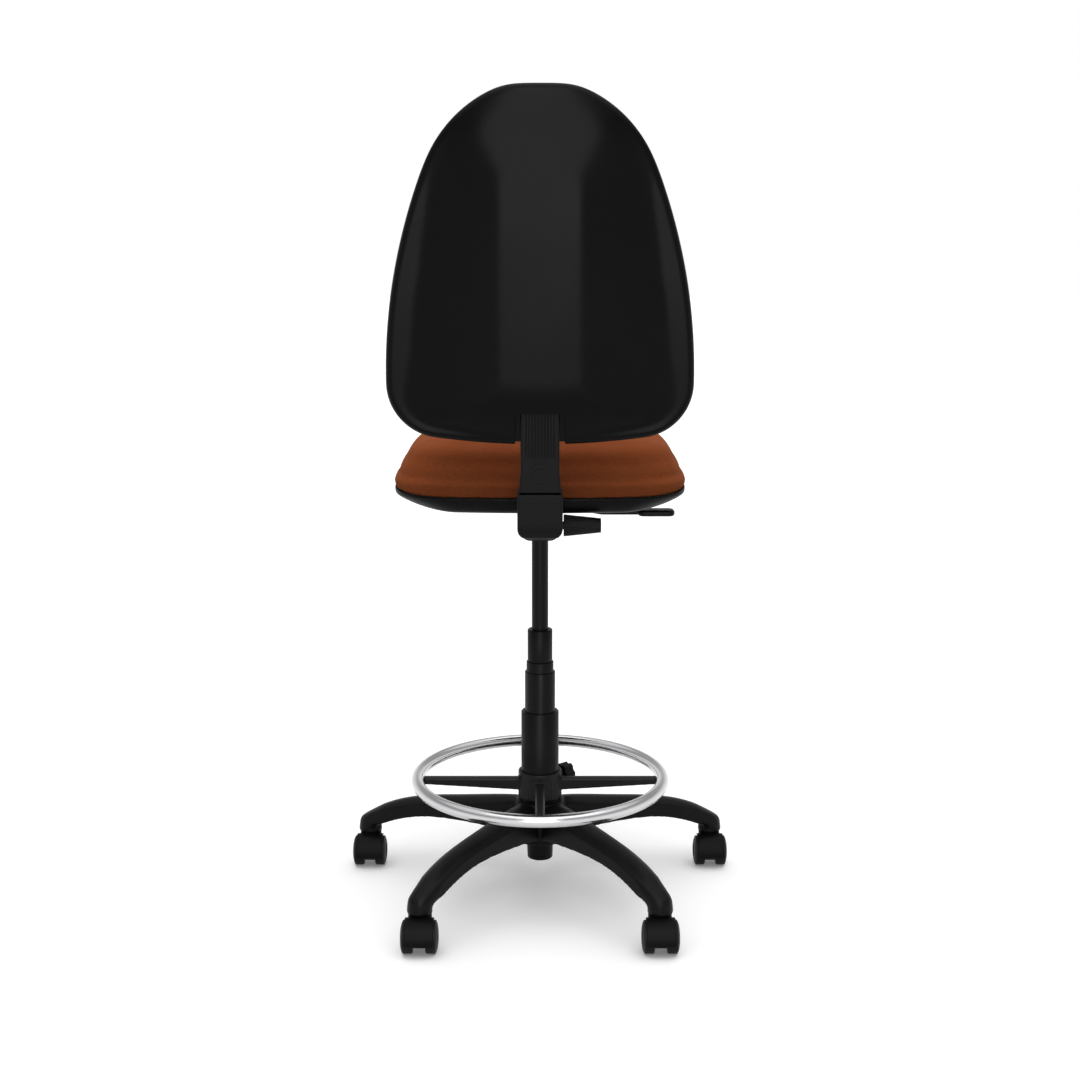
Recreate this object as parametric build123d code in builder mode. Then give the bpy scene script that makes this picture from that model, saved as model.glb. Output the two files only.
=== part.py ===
from build123d import *
import os
from math import asin, atan2, cos, degrees, radians, sin, sqrt

# Draughtsman's chair: castor base, gas lift column, foot ring, padded seat and padded tilting back.
# Frame: millimetres, +Z up, origin on the floor under the column, the sitter faces -Y.

os.makedirs("parts", exist_ok=True)

# Clearances
RUN = 0.06  # radial play of a shaft that turns in a bore
SLIDE = 0.15  # radial play of a sleeve that slides on a tube
GAP = 0.4  # air between pieces that pass each other
FREE = 1.5  # air round a piece that must never rub

# Castors
WHEEL_D = 50.0
WHEEL_GAP = 20.0  # between the two wheels of a castor
TREAD_W = 15.8
WHEEL_W = 18.4  # one wheel, with the bulge of its outer face
WHEEL_SHOULDER_R = 12.0  # where the outer face turns flat
AXLE_D = 8.0
AXLE_L = 50.0
CASTOR_TRAIL = 18.0
HOOD_GAP = 1.2  # between the tread and the hood
HOOD_WALL = 2.4
HOOD_W = 45.0
HOOD_FRONT = 118.0  # degrees round the axle, from the rear, where the hood ends in front
HOOD_REAR = -11.0
HOOD_SKIRT_Z = 7.5
HOOD_SKIRT = 17.2  # from the axle to the sloping rear edge of the web between the wheels
HOOD_SKIRT_TILT = 26.0
STEM_D = 11.0
STEM_GRIP = 20.0  # length of the stem inside the hood
STEM_SOCKET = 28.0  # length of the stem inside the base
HOOD_FLANGE_D = 36.0
HOOD_FLANGE_T = 9.5

# Base star
ARMS = 5
ARM_START = 54.0  # degrees from +X to the first arm
PIVOT_R = 310.0
ARM_ROOT_W = 54.0
ARM_END_W = 40.0
ARM_BOSS_D = 38.0  # boss round the castor stem
ARM_BOSS_H = 12.0
ARM_SHELL = 4.0
ARM_CROWN = 9.0  # rise of the rounded top above its side edges
ARM_RIB_T = 3.0
ARM_RIBS = 3
HUB_RISE = 93.5  # hub's top above the castor sockets
HUB_H = 68.5
HUB_WAIST_DROP = 22.0
HUB_TOP_D = 76.0
HUB_WAIST_D = 104.0
HUB_FOOT_D = 88.0
# An arm's line: share of the way to the castor, drop of the top below the hub, depth
ARM_LINE = [
    (0.1, 1.5, 57.0),
    (0.29, 5.5, 46.0),
    (0.58, 16.0, 32.0),
    (0.81, 30.0, 31.0),
    (0.935, 45.5, 31.0),
    (1.07, 71.0, 20.0),
]

# Gas lift
TUBE_D = 50.0
TUBE_WALL = 2.0
TUBE_FOOT_D = 42.0
TUBE_FOOT_Z = 45.0
TUBE_TOP_Z = 367.0
TUBE_PLATE_T = 4.0
TUBE_RECESS = 6.0  # depth of the tube's foot below its bottom plate
SLEEVE_WALL = 6.0
SLEEVE_TOP_Z = 300.0
BUSH_D = 44.4
BUSH_H = 17.0
BUSH_PLUG = 40.0  # length of the guide bush inside the tube
GUIDE_D = 40.7
GUIDE_H = 54.0
CYLINDER_D = 27.0
CYLINDER_WALL = 1.9
CYLINDER_FOOT_Z = 235.0
CYLINDER_TOP_Z = 634.0
CYLINDER_GUIDE = 20.0  # length of the rod guide in the cylinder's foot
CYLINDER_PLUG = 22.0  # length of the valve plug in its top
TAPER_L = 36.0
TAPER_DROP = 0.8  # loss of radius over the taper
ROD_D = 10.0
PISTON_H = 16.0
PISTON_TOP_Z = 394.0
BEARING_D = 32.0
BEARING_WASHER = 2.0
BALL_D = 5.0
BALLS = 10
ROD_COLLAR_D = 24.0
ROD_COLLAR_T = 3.0
BUMP_D = 28.0
BUMP_H = 10.0
CLIP_D = 18.0
CLIP_T = 2.5
VALVE_D = 6.0
VALVE_HEAD_D = 10.0
VALVE_HEAD_T = 2.0
VALVE_RISE = 5.0  # button standing above the cylinder

# Foot ring
RING_R = 203.6
RING_TUBE_D = 20.5
RING_Z = 184.0
RING_SPOKES = 4
SPOKE_W = 15.0
SPOKE_ROOT_H = 20.6
SPOKE_END_H = 11.0
SPOKE_RISE = 1.0  # spoke's top above the ring's middle
RING_BUSH_T = 1.7
RING_BUSH_LIP = 2.15  # reach of the flange beyond the bush
RING_BUSH_FLANGE_T = 2.0
RING_HUB_WALL = 3.0
RING_HUB_TOP_Z = 198.0
RING_KNOB_ANGLE = 220.0  # degrees from +X
RING_KNOB_Z = 180.0
RING_KNOB_D = 34.0
RING_KNOB_T = 18.0
RING_KNOB_LOBES = 6
RING_BOSS_D = 20.0
RING_BOSS_L = 9.0  # beyond the hub
RING_STUD_D = 8.0
RING_STUD_GRIP = 14.0  # length of the stud inside the knob

# Seat
SEAT_W = 458.0
SEAT_FRONT = -235.0
SEAT_REAR = 195.0
SEAT_WIDEST_Y = -10.0
SEAT_SIDE_R = 1500.0
SEAT_REAR_R = 900.0
SEAT_FRONT_R = 1100.0
SEAT_REAR_CORNER = 105.0
SEAT_FRONT_CORNER = 82.0
PAN_Z = 656.0
PAN_H = 30.0
PAN_WALL = 3.0
PAN_INSET = 4.0  # pan's rim drawn in from the cushion's widest line
PAN_FALL = 26.0  # drawing in of the pan from its rim to its floor
PAN_POST_D = 20.0
BOARD_T = 11.0
BOARD_INSET = 9.0
CUSHION_H = 74.0
CUSHION_ROLL = 10.0  # height of the widest line above the board
CUSHION_TUCK = 4.0
CUSHION_DRAW = 27.0  # drawing in of the sides up to the shoulder
CUSHION_SHOULDER = 13.0  # height of the rounded shoulder
CUSHION_SHOULDER_IN = 22.0
CUSHION_CROWN = 9.0
PLATE_W = 200.0
PLATE_D = 170.0
PLATE_T = 3.0
PLATE_CORNER = 16.0
BOLT_D = 8.0
BOLT_X = 150.0  # spacing across
BOLT_Y = 120.0
BOLT_HEAD_D = 13.0
BOLT_HEAD_T = 5.3
BOLT_BITE = 9.0  # length of a seat bolt inside the board
ARMREST_HOLE_D = 8.6  # fixing holes for an armrest, two a side
ARMREST_X = 330.0  # spacing across
ARMREST_Y = 80.0  # spacing along
ARMREST_MIDDLE_Y = 85.0

# Mechanism
HOUSING_W = 58.0
HOUSING_WALL = 3.0
HOUSING_FRONT = -78.0
HOUSING_REAR = 182.0
HOUSING_H = 36.0
HOUSING_R = 14.0  # rounding of its two lower edges
SOCKET_D = 38.0
TILT_Y = 172.0
TILT_Z = 638.8
SPINDLE_D = 12.0
SPINDLE_HEAD_D = 20.0
SPINDLE_HEAD_T = 3.5
PIVOT_WALL = 4.0  # wall of the bar's pivot sleeve
TILT_KNOB_D = 33.4
TILT_KNOB_TAPER = 5.0  # degrees
TILT_KNOB_L = 56.0
TILT_KNOB_GAP = 6.5
TILT_KNOB_RIBS = 24
TILT_KNOB_RIB_D = 2.4
TILT_KNOB_GRIP = 44.0  # length of the spindle inside the knob
LEVER_D = 8.0
LEVER_INNER_X = 12.0
LEVER_PIVOT_X = -21.0
LEVER_PIVOT_D = 6.0
LEVER_PIVOT_L = 30.0
LEVER_EAR_T = 3.0
LEVER_DROP = 12.0
LEVER_BEND_X = -100.0
LEVER_BEND_R = 20.0
LEVER_GRIP = 18.0  # length of the rod inside the paddle
LEVER_SLOT_W = 13.0
LEVER_SLOT_DROP = 8.0
PADDLE_L = 59.0
PADDLE_W = 32.0
PADDLE_T = 10.0
PADDLE_END_X = -217.0

# Back
BACK_Y = 240.0
BACK_Z = 772.0
BACK_RAKE = 6.0
BACK_W = 433.6
BACK_H = 493.0
BACK_BOTTOM_R = 1100.0
BACK_CORNER_R = 76.0
BACK_SIDE_R = 800.0
BACK_SHOULDER_R = 180.0
BACK_TOP_R = 40.0
BACK_TOP_TURN = 70.0  # degrees at which the shoulder meets the top's small arc
SHELL_DEPTH = 34.0
SHELL_WALL = 3.0
SHELL_FALL = 33.0  # drawing in of the shell from its rim to its flat back
NOTCH_GAP = 8.0  # between the stem cover and each side of the notch
NOTCH_H = 47.0
BACK_BOARD_T = 9.0
BACK_BOARD_INSET = 8.0
PAD_T = 55.0
PAD_ROLL = 12.0
PAD_TUCK = 3.0
PAD_DRAW = 13.0
PAD_SHOULDER = 14.0
PAD_SHOULDER_IN = 20.0
PAD_CROWN = 8.0
PAD_CROWN_V = 190.0  # height of the crown's middle above the foot of the back
BAR_W = 45.0
BAR_T = 8.0
BAR_BEND = 32.0
BAR_OFFSET = 14.0  # bar's middle behind the back's rim plane
BAR_TOP = 215.0  # bar's end above the foot of the back
COVER_FOOT = -72.0
COVER_TOP = 96.0
COVER_SIDE = 5.5  # cover's wall beside the bar
COVER_SPREAD = 3.0  # widening of each side at the foot
COVER_FLARE = 30.0  # length over which the cover widens to its foot
COVER_WALL = 3.0
COVER_REAR_WALL = 5.0
COVER_EDGE_R = 3.0
COVER_RIBS = 6
COVER_RIB_PITCH = 4.4
COVER_RIB_W = 1.6
COVER_RIB_DEPTH = 0.9
CAP_D = 34.0
CAP_V = -45.0
CAP_DEPTH = 2.5
CAP_PROUD = 0.8
CAP_INNER_D = 21.0
BOOT_MARGIN = 2.0  # boot beyond each side of the cover's foot
BOOT_FOOT_Z = 628.0
BOOT_STEP_Z = 650.0  # top of the boot under the seat
BOOT_FRONT = 189.0
BOOT_WALL = 3.0
BOOT_REAR = 27.0  # boot's rear face behind the rim plane of the back
BOOT_FACE = -13.0  # boot's front face
BOOT_HEEL_R = 25.0
BOOT_CORNER = 18.0
SLIDER_SIDE = 8.5  # slider's wall beside the bar
SLIDER_H = 70.0
SLIDER_T = 24.0
SLIDER_V = 113.0  # slider's foot above the foot of the back
SLIDER_EAR = 15.0  # flange beyond each side of the slider
SLIDER_FLANGE_T = 4.0
BACK_SCREW_D = 6.0
BACK_SCREW_OUT = 7.0  # screws outside the slider's sides
BACK_SCREW_V = 50.0
BACK_SCREW_HEAD_D = 11.0
BACK_SCREW_HEAD_T = 3.4
BACK_SCREW_BITE = 7.0

# Places worked out from the sizes above
WHEEL_R = WHEEL_D / 2
HOOD_R = WHEEL_R + HOOD_GAP + HOOD_WALL
HOOD_TOP_Z = WHEEL_R + HOOD_R + 1.0
SOCKET_FOOT_Z = HOOD_TOP_Z + GAP
HUB_TOP_Z = SOCKET_FOOT_Z + HUB_RISE
HUB_FOOT_Z = HUB_TOP_Z - HUB_H
SLEEVE_D = TUBE_D + 2 * SLEEVE_WALL
SLEEVE_FOOT_Z = HUB_TOP_Z
RING_BUSH_IN_D = SLEEVE_D + 2 * SLIDE
RING_BUSH_OUT_D = RING_BUSH_IN_D + 2 * RING_BUSH_T
RING_BUSH_FLANGE_D = RING_BUSH_OUT_D + 2 * RING_BUSH_LIP
RING_BUSH_FOOT_Z = HUB_TOP_Z + FREE
RING_HUB_IN_D = RING_BUSH_OUT_D + 2 * SLIDE
RING_HUB_D = RING_HUB_IN_D + 2 * RING_HUB_WALL
RING_BOSS_END = RING_HUB_D / 2 + RING_BOSS_L
PLATE_Z = PAN_Z - PLATE_T
HOUSING_FOOT_Z = PLATE_Z - HOUSING_H
SOCKET_BOTTOM_Z = CYLINDER_TOP_Z - TAPER_L
BOARD_Z = PAN_Z + PAN_H - BOARD_T
CUSHION_Z = PAN_Z + PAN_H
VALVE_TOP_Z = CYLINDER_TOP_Z + VALVE_RISE
LEVER_Z = VALVE_TOP_Z + GAP + LEVER_D / 2
PADDLE_Z = LEVER_Z - LEVER_DROP
COVER_W = BAR_W + 2 * COVER_SIDE
COVER_FOOT_W = COVER_W + 2 * COVER_SPREAD
BOOT_W = COVER_FOOT_W + 2 * BOOT_MARGIN
NOTCH_W = COVER_W + 2 * NOTCH_GAP
SLIDER_W = BAR_W + 2 * SLIDER_SIDE
SLIDER_FLANGE_W = SLIDER_W + 2 * SLIDER_EAR
BACK_SCREW_X = SLIDER_W + 2 * BACK_SCREW_OUT
BACK = Plane(
    origin=(0, BACK_Y, BACK_Z),
    x_dir=(-1, 0, 0),
    z_dir=(0, cos(radians(BACK_RAKE)), -sin(radians(BACK_RAKE))),
)
BAR_PLANE = BACK.offset(BAR_OFFSET)


def save(part, name):
    """Label a finished piece and write it as its own file."""
    part.label = name
    export_step(part, f"parts/{name}.step")


def ring(bottom, height, outer_d, inner_d):
    """A plain ring about the column axis."""
    with BuildPart() as band:
        with BuildSketch(Plane.XY.offset(bottom)):
            Circle(outer_d / 2)
            Circle(inner_d / 2, mode=Mode.SUBTRACT)
        extrude(amount=height)
    return band.part


# Castor, drawn with its stem on the Z axis and its axle behind it
axle_side = Plane(origin=(0, CASTOR_TRAIL, WHEEL_R), x_dir=(0, 1, 0), z_dir=(1, 0, 0))
axle_cut = Plane(origin=(0, CASTOR_TRAIL, WHEEL_R), x_dir=(1, 0, 0), z_dir=(0, -1, 0))
axle_axis = Axis((0, CASTOR_TRAIL, WHEEL_R), (1, 0, 0))
web_w = WHEEL_GAP - 2 * GAP

with BuildPart() as castor_hood:
    with BuildSketch(axle_side):
        Circle(HOOD_R)
        Circle(HOOD_R - HOOD_WALL, mode=Mode.SUBTRACT)
        with BuildLine():
            sector = [HOOD_REAR, (HOOD_REAR + HOOD_FRONT) / 2, HOOD_FRONT]
            reach = [(2 * HOOD_R * cos(radians(a)), 2 * HOOD_R * sin(radians(a))) for a in sector]
            Polyline((0, 0), *reach, close=True)
        make_face(mode=Mode.INTERSECT)
    extrude(amount=HOOD_W / 2, both=True)
    cover_edges = castor_hood.edges().filter_by(GeomType.CIRCLE)
    fillet(cover_edges.filter_by(lambda e: e.radius > HOOD_R - HOOD_WALL / 2), HOOD_WALL / 2)
    with BuildSketch(Plane.XY.offset(HOOD_TOP_Z - HOOD_FLANGE_T)):
        Circle(HOOD_FLANGE_D / 2)
    extrude(amount=HOOD_FLANGE_T)
    for side in (1, -1):
        with BuildSketch(axle_side.offset(side * web_w / 2)):
            Circle(WHEEL_R + HOOD_GAP / 2)
        extrude(amount=side * HOOD_W, mode=Mode.SUBTRACT)
    with BuildSketch(axle_side):
        Circle(HOOD_R - HOOD_WALL / 2)
        with Locations((0, HOOD_SKIRT_Z - WHEEL_R - HOOD_R)):
            Rectangle(2 * HOOD_R, 2 * HOOD_R, mode=Mode.SUBTRACT)
        skirt_tilt = radians(HOOD_SKIRT_TILT)
        skirt_reach = HOOD_SKIRT + HOOD_R
        with Locations((skirt_reach * sin(skirt_tilt), -skirt_reach * cos(skirt_tilt))):
            Rectangle(2 * HOOD_R, 2 * HOOD_R, rotation=HOOD_SKIRT_TILT, mode=Mode.SUBTRACT)
    extrude(amount=web_w / 2, both=True)
    with BuildSketch(Plane.XY.offset(WHEEL_R)):
        Circle(web_w / 2)
    extrude(amount=HOOD_TOP_Z - WHEEL_R)
    with BuildSketch(Plane.XY.offset(HOOD_TOP_Z - STEM_GRIP)):
        Circle(STEM_D / 2)
    extrude(amount=STEM_GRIP, mode=Mode.SUBTRACT)
    with BuildSketch(axle_side):
        Circle(AXLE_D / 2)
    extrude(amount=HOOD_W, both=True, mode=Mode.SUBTRACT)

with BuildPart() as castor_stem:
    with BuildSketch(Plane.XY.offset(HOOD_TOP_Z - STEM_GRIP)):
        Circle(STEM_D / 2)
    extrude(amount=STEM_GRIP + GAP + STEM_SOCKET - FREE)
    chamfer(castor_stem.edges().sort_by(Axis.Z)[-1], STEM_D / 8)

with BuildPart() as castor_axle:
    with BuildSketch(axle_side):
        Circle(AXLE_D / 2)
    extrude(amount=AXLE_L / 2, both=True)

wheel_in = WHEEL_GAP / 2
wheel_out = WHEEL_GAP / 2 + WHEEL_W
with BuildPart() as castor_wheel:
    with BuildSketch(axle_cut):
        with BuildLine():
            bore_end = AXLE_L / 2 + GAP
            bore_r = AXLE_D / 2 + RUN
            dish = wheel_out - 1.6
            Polyline(
                (dish, 0),
                (bore_end, 0),
                (bore_end, bore_r),
                (wheel_in, bore_r),
                (wheel_in, WHEEL_R - 1.5),
                (wheel_in + 1.5, WHEEL_R),
                (wheel_in + TREAD_W - 1.0, WHEEL_R),
            )
            bulge = (wheel_out - 0.9, (WHEEL_R + WHEEL_SHOULDER_R) / 2)
            ThreePointArc((wheel_in + TREAD_W - 1.0, WHEEL_R), bulge, (wheel_out, WHEEL_SHOULDER_R))
            Polyline((wheel_out, WHEEL_SHOULDER_R), (dish, WHEEL_SHOULDER_R - 1.6), (dish, 0))
        make_face()
    revolve(axis=axle_axis)

for number in range(1, ARMS + 1):
    heading = radians(ARM_START + (number - 1) * 360 / ARMS)
    place = Location((PIVOT_R * cos(heading), PIVOT_R * sin(heading), 0))
    save(castor_hood.part.moved(place), f"castor_{number}_hood")
    save(castor_stem.part.moved(place), f"castor_{number}_stem")
    save(castor_axle.part.moved(place), f"castor_{number}_axle")
    save(castor_wheel.part.moved(place), f"castor_{number}_wheel_left")
    save(mirror(castor_wheel.part, about=Plane.YZ).moved(place), f"castor_{number}_wheel_right")

# Base star: one arm along +X, hollow underneath, then five of them round a hub
channel_end = PIVOT_R - ARM_END_W / 2 - ARM_SHELL


def arm_half_width(share):
    """Half width of an arm at a share of the way to the castor."""
    return (ARM_ROOT_W + (ARM_END_W - ARM_ROOT_W) * share) / 2


def arm_section(share, drop, depth, wall):
    """Cross-section of an arm, drawn in by wall at the sides and top."""
    half = arm_half_width(share) - wall
    top = HUB_TOP_Z - drop - wall
    foot = HUB_TOP_Z - drop - depth
    with BuildSketch() as section:
        with BuildLine():
            Polyline((half, top - ARM_CROWN), (half, foot), (-half, foot), (-half, top - ARM_CROWN))
            ThreePointArc((-half, top - ARM_CROWN), (0, top), (half, top - ARM_CROWN))
        make_face()
    return section.sketch


with BuildPart() as arm:
    for share, drop, depth in ARM_LINE:
        with BuildSketch(Plane.YZ.offset(share * PIVOT_R)):
            add(arm_section(share, drop, depth, 0.0))
    loft()
    with BuildSketch(Plane.XY.offset(SOCKET_FOOT_Z)):
        with BuildLine():
            root = ARM_ROOT_W / 2
            end = ARM_END_W / 2
            Polyline((0, -root), (PIVOT_R, -end), (PIVOT_R, end), (0, root), close=True)
        make_face()
        with Locations((PIVOT_R, 0)):
            Circle(end)
    extrude(amount=HUB_TOP_Z - SOCKET_FOOT_Z, mode=Mode.INTERSECT)
    with BuildSketch(Plane.XY.offset(SOCKET_FOOT_Z)):
        with Locations((PIVOT_R, 0)):
            Circle(ARM_BOSS_D / 2)
    extrude(amount=ARM_BOSS_H)

with BuildPart() as arm_channel:
    for share, drop, depth in ARM_LINE:
        with BuildSketch(Plane.YZ.offset(share * PIVOT_R)):
            add(arm_section(share, drop, depth + ARM_SHELL, ARM_SHELL))
    loft()
    with BuildSketch(Plane.XZ):
        with Locations((channel_end + PIVOT_R, HUB_TOP_Z)):
            Rectangle(2 * PIVOT_R, 4 * HUB_TOP_Z)
        for rib in range(ARM_RIBS):
            rib_x = HUB_WAIST_D / 2 + (rib + 1) * (channel_end - HUB_WAIST_D / 2) / (ARM_RIBS + 1)
            with Locations((rib_x, HUB_TOP_Z)):
                Rectangle(ARM_RIB_T, 4 * HUB_TOP_Z)
    extrude(amount=ARM_ROOT_W, both=True, mode=Mode.SUBTRACT)

with BuildPart() as base_star:
    with PolarLocations(0, ARMS, start_angle=ARM_START):
        add(arm.part)
    with PolarLocations(0, ARMS, start_angle=ARM_START):
        add(arm_channel.part, mode=Mode.SUBTRACT)
    with BuildSketch(Plane.XZ):
        with BuildLine():
            waist_z = HUB_TOP_Z - HUB_WAIST_DROP
            Polyline(
                (0, HUB_FOOT_Z),
                (HUB_FOOT_D / 2, HUB_FOOT_Z),
                (HUB_WAIST_D / 2, waist_z),
                (HUB_TOP_D / 2, HUB_TOP_Z),
                (0, HUB_TOP_Z),
                close=True,
            )
        make_face()
    revolve(axis=Axis.Z)
    with BuildSketch(Plane.XZ):
        with BuildLine():
            Polyline(
                (0, TUBE_FOOT_Z),
                (TUBE_FOOT_D / 2, TUBE_FOOT_Z),
                (TUBE_D / 2, HUB_TOP_Z),
                (0, HUB_TOP_Z),
                close=True,
            )
        make_face()
    revolve(axis=Axis.Z, mode=Mode.SUBTRACT)
    with BuildSketch(Plane.XY.offset(SOCKET_FOOT_Z)):
        with PolarLocations(PIVOT_R, ARMS, start_angle=ARM_START):
            Circle(STEM_D / 2 + RUN)
    extrude(amount=STEM_SOCKET, mode=Mode.SUBTRACT)
save(base_star.part, "base_star")

# Gas lift column
plate_z = TUBE_FOOT_Z + TUBE_RECESS
bearing_z = plate_z + TUBE_PLATE_T
collar_z = bearing_z + 2 * BEARING_WASHER + BALL_D
rod_hole_d = ROD_D + 0.6

with BuildPart() as column_tube:
    with BuildSketch(Plane.XZ):
        with BuildLine():
            foot_r = TUBE_FOOT_D / 2
            tube_r = TUBE_D / 2
            Polyline(
                (foot_r - 2 * TUBE_WALL, TUBE_FOOT_Z),
                (foot_r, TUBE_FOOT_Z),
                (tube_r, HUB_TOP_Z),
                (tube_r, TUBE_TOP_Z),
                (tube_r - TUBE_WALL, TUBE_TOP_Z),
                (tube_r - TUBE_WALL, HUB_TOP_Z),
                (foot_r - TUBE_WALL, bearing_z),
                (rod_hole_d / 2, bearing_z),
                (rod_hole_d / 2, plate_z),
                (foot_r - 2 * TUBE_WALL, plate_z),
                close=True,
            )
        make_face()
    revolve(axis=Axis.Z)
    foot_edges = column_tube.edges().filter_by(GeomType.CIRCLE).group_by(Axis.Z)[0]
    fillet(foot_edges.sort_by(SortBy.RADIUS)[-1], TUBE_WALL)
save(column_tube.part, "column_tube")

with BuildPart() as column_sleeve:
    add(ring(SLEEVE_FOOT_Z, SLEEVE_TOP_Z - SLEEVE_FOOT_Z, SLEEVE_D, TUBE_D))
    top_edges = column_sleeve.edges().filter_by(GeomType.CIRCLE).group_by(Axis.Z)[-1]
    chamfer(top_edges.sort_by(SortBy.RADIUS)[-1], 1.5)
save(column_sleeve.part, "column_sleeve")

guide_z = TUBE_TOP_Z + BUSH_H
with BuildPart() as guide_bush:
    add(ring(TUBE_TOP_Z, BUSH_H, BUSH_D, CYLINDER_D + 2 * SLIDE))
    add(ring(TUBE_TOP_Z - BUSH_PLUG, BUSH_PLUG, TUBE_D - 2 * TUBE_WALL, CYLINDER_D + 2 * SLIDE))
save(guide_bush.part, "guide_bush")

with BuildPart() as guide_sleeve:
    add(ring(guide_z, GUIDE_H, GUIDE_D, CYLINDER_D + 2 * SLIDE))
    lip = guide_sleeve.edges().filter_by(GeomType.CIRCLE).group_by(Axis.Z)[-1]
    chamfer(lip.sort_by(SortBy.RADIUS)[-1], 1.2)
save(guide_sleeve.part, "guide_sleeve")

with BuildPart() as thrust_bearing:
    add(ring(bearing_z, BEARING_WASHER, BEARING_D, rod_hole_d))
    add(ring(bearing_z + BEARING_WASHER + BALL_D, BEARING_WASHER, BEARING_D, rod_hole_d))
    with Locations((0, 0, bearing_z + BEARING_WASHER + BALL_D / 2)):
        with PolarLocations((BEARING_D + rod_hole_d) / 4, BALLS):
            Sphere(BALL_D / 2 - RUN)
save(thrust_bearing.part, "thrust_bearing")

clip_z = plate_z - GAP - CLIP_T
with BuildPart() as piston_rod:
    with BuildSketch(Plane.XY.offset(TUBE_FOOT_Z + FREE)):
        Circle(ROD_D / 2)
    extrude(amount=PISTON_TOP_Z - TUBE_FOOT_Z - FREE)
    add(ring(collar_z + GAP, ROD_COLLAR_T, ROD_COLLAR_D, ROD_D))
    add(ring(PISTON_TOP_Z - PISTON_H, PISTON_H, CYLINDER_D - 2 * CYLINDER_WALL - 2 * SLIDE, ROD_D))
save(piston_rod.part, "piston_rod")

with BuildPart() as retaining_clip:
    add(ring(clip_z, CLIP_T, CLIP_D, ROD_D))
save(retaining_clip.part, "retaining_clip")

with BuildPart() as bump_stop:
    add(ring(collar_z + GAP + ROD_COLLAR_T, BUMP_H, BUMP_D, ROD_D))
    bump_edges = bump_stop.edges().filter_by(GeomType.CIRCLE).group_by(Axis.Z)[-1]
    fillet(bump_edges.sort_by(SortBy.RADIUS)[-1], 3.0)
save(bump_stop.part, "bump_stop")

with BuildPart() as gas_cylinder:
    with BuildSketch(Plane.XZ):
        with BuildLine():
            body_r = CYLINDER_D / 2
            chamber_r = body_r - CYLINDER_WALL
            guide_r = ROD_D / 2 + SLIDE
            valve_r = VALVE_D / 2 + SLIDE
            guide_top_z = CYLINDER_FOOT_Z + CYLINDER_GUIDE
            plug_z = CYLINDER_TOP_Z - CYLINDER_PLUG
            Polyline(
                (guide_r, CYLINDER_FOOT_Z),
                (body_r, CYLINDER_FOOT_Z),
                (body_r, SOCKET_BOTTOM_Z),
                (body_r - TAPER_DROP, CYLINDER_TOP_Z),
                (valve_r, CYLINDER_TOP_Z),
                (valve_r, plug_z),
                (chamber_r, plug_z),
                (chamber_r, guide_top_z),
                (guide_r, guide_top_z),
                close=True,
            )
        make_face()
    revolve(axis=Axis.Z)
save(gas_cylinder.part, "gas_cylinder")

with BuildPart() as valve_button:
    with BuildSketch(Plane.XY.offset(plug_z)):
        Circle(VALVE_D / 2)
    extrude(amount=VALVE_TOP_Z - plug_z)
    with BuildSketch(Plane.XY.offset(VALVE_TOP_Z - VALVE_HEAD_T)):
        Circle(VALVE_HEAD_D / 2)
    extrude(amount=VALVE_HEAD_T)
save(valve_button.part, "valve_button")

# Foot ring, its hub and bush, and the clamp knob
hub_foot_z = RING_BUSH_FOOT_Z + RING_BUSH_FLANGE_T + GAP
with BuildPart() as foot_ring_bush:
    add(ring(RING_BUSH_FOOT_Z, RING_HUB_TOP_Z - RING_BUSH_FOOT_Z, RING_BUSH_OUT_D, RING_BUSH_IN_D))
    add(ring(RING_BUSH_FOOT_Z, RING_BUSH_FLANGE_T, RING_BUSH_FLANGE_D, RING_BUSH_IN_D))
save(foot_ring_bush.part, "foot_ring_bush")

knob_way = Vector(1, 0, 0).rotate(Axis.Z, RING_KNOB_ANGLE)
boss_root = RING_HUB_IN_D / 2 + 0.5


def knob_plane(distance):
    """Plane square to the clamp screw, at a distance from the column axis."""
    origin = knob_way * distance + Vector(0, 0, RING_KNOB_Z)
    return Plane(origin=origin, x_dir=(0, 0, 1), z_dir=knob_way)


with BuildPart() as spoke:
    with BuildSketch(Plane.XZ):
        with BuildLine():
            root_r = RING_HUB_D / 2
            tip_r = RING_R - RING_TUBE_D / 4
            spoke_top = RING_Z + SPOKE_RISE
            Polyline(
                (0, spoke_top),
                (tip_r, spoke_top),
                (tip_r, spoke_top - SPOKE_END_H),
                (root_r, spoke_top - SPOKE_ROOT_H),
                (0, spoke_top - SPOKE_ROOT_H),
                close=True,
            )
        make_face()
    extrude(amount=SPOKE_W / 2, both=True)
    fillet(spoke.edges().filter_by(Axis.X).group_by(Axis.Z)[-1], SPOKE_W / 4)

with BuildPart() as foot_ring:
    with BuildSketch(Plane.XZ):
        with Locations((RING_R, RING_Z)):
            Circle(RING_TUBE_D / 2)
    revolve(axis=Axis.Z)
save(foot_ring.part, "foot_ring")

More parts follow.
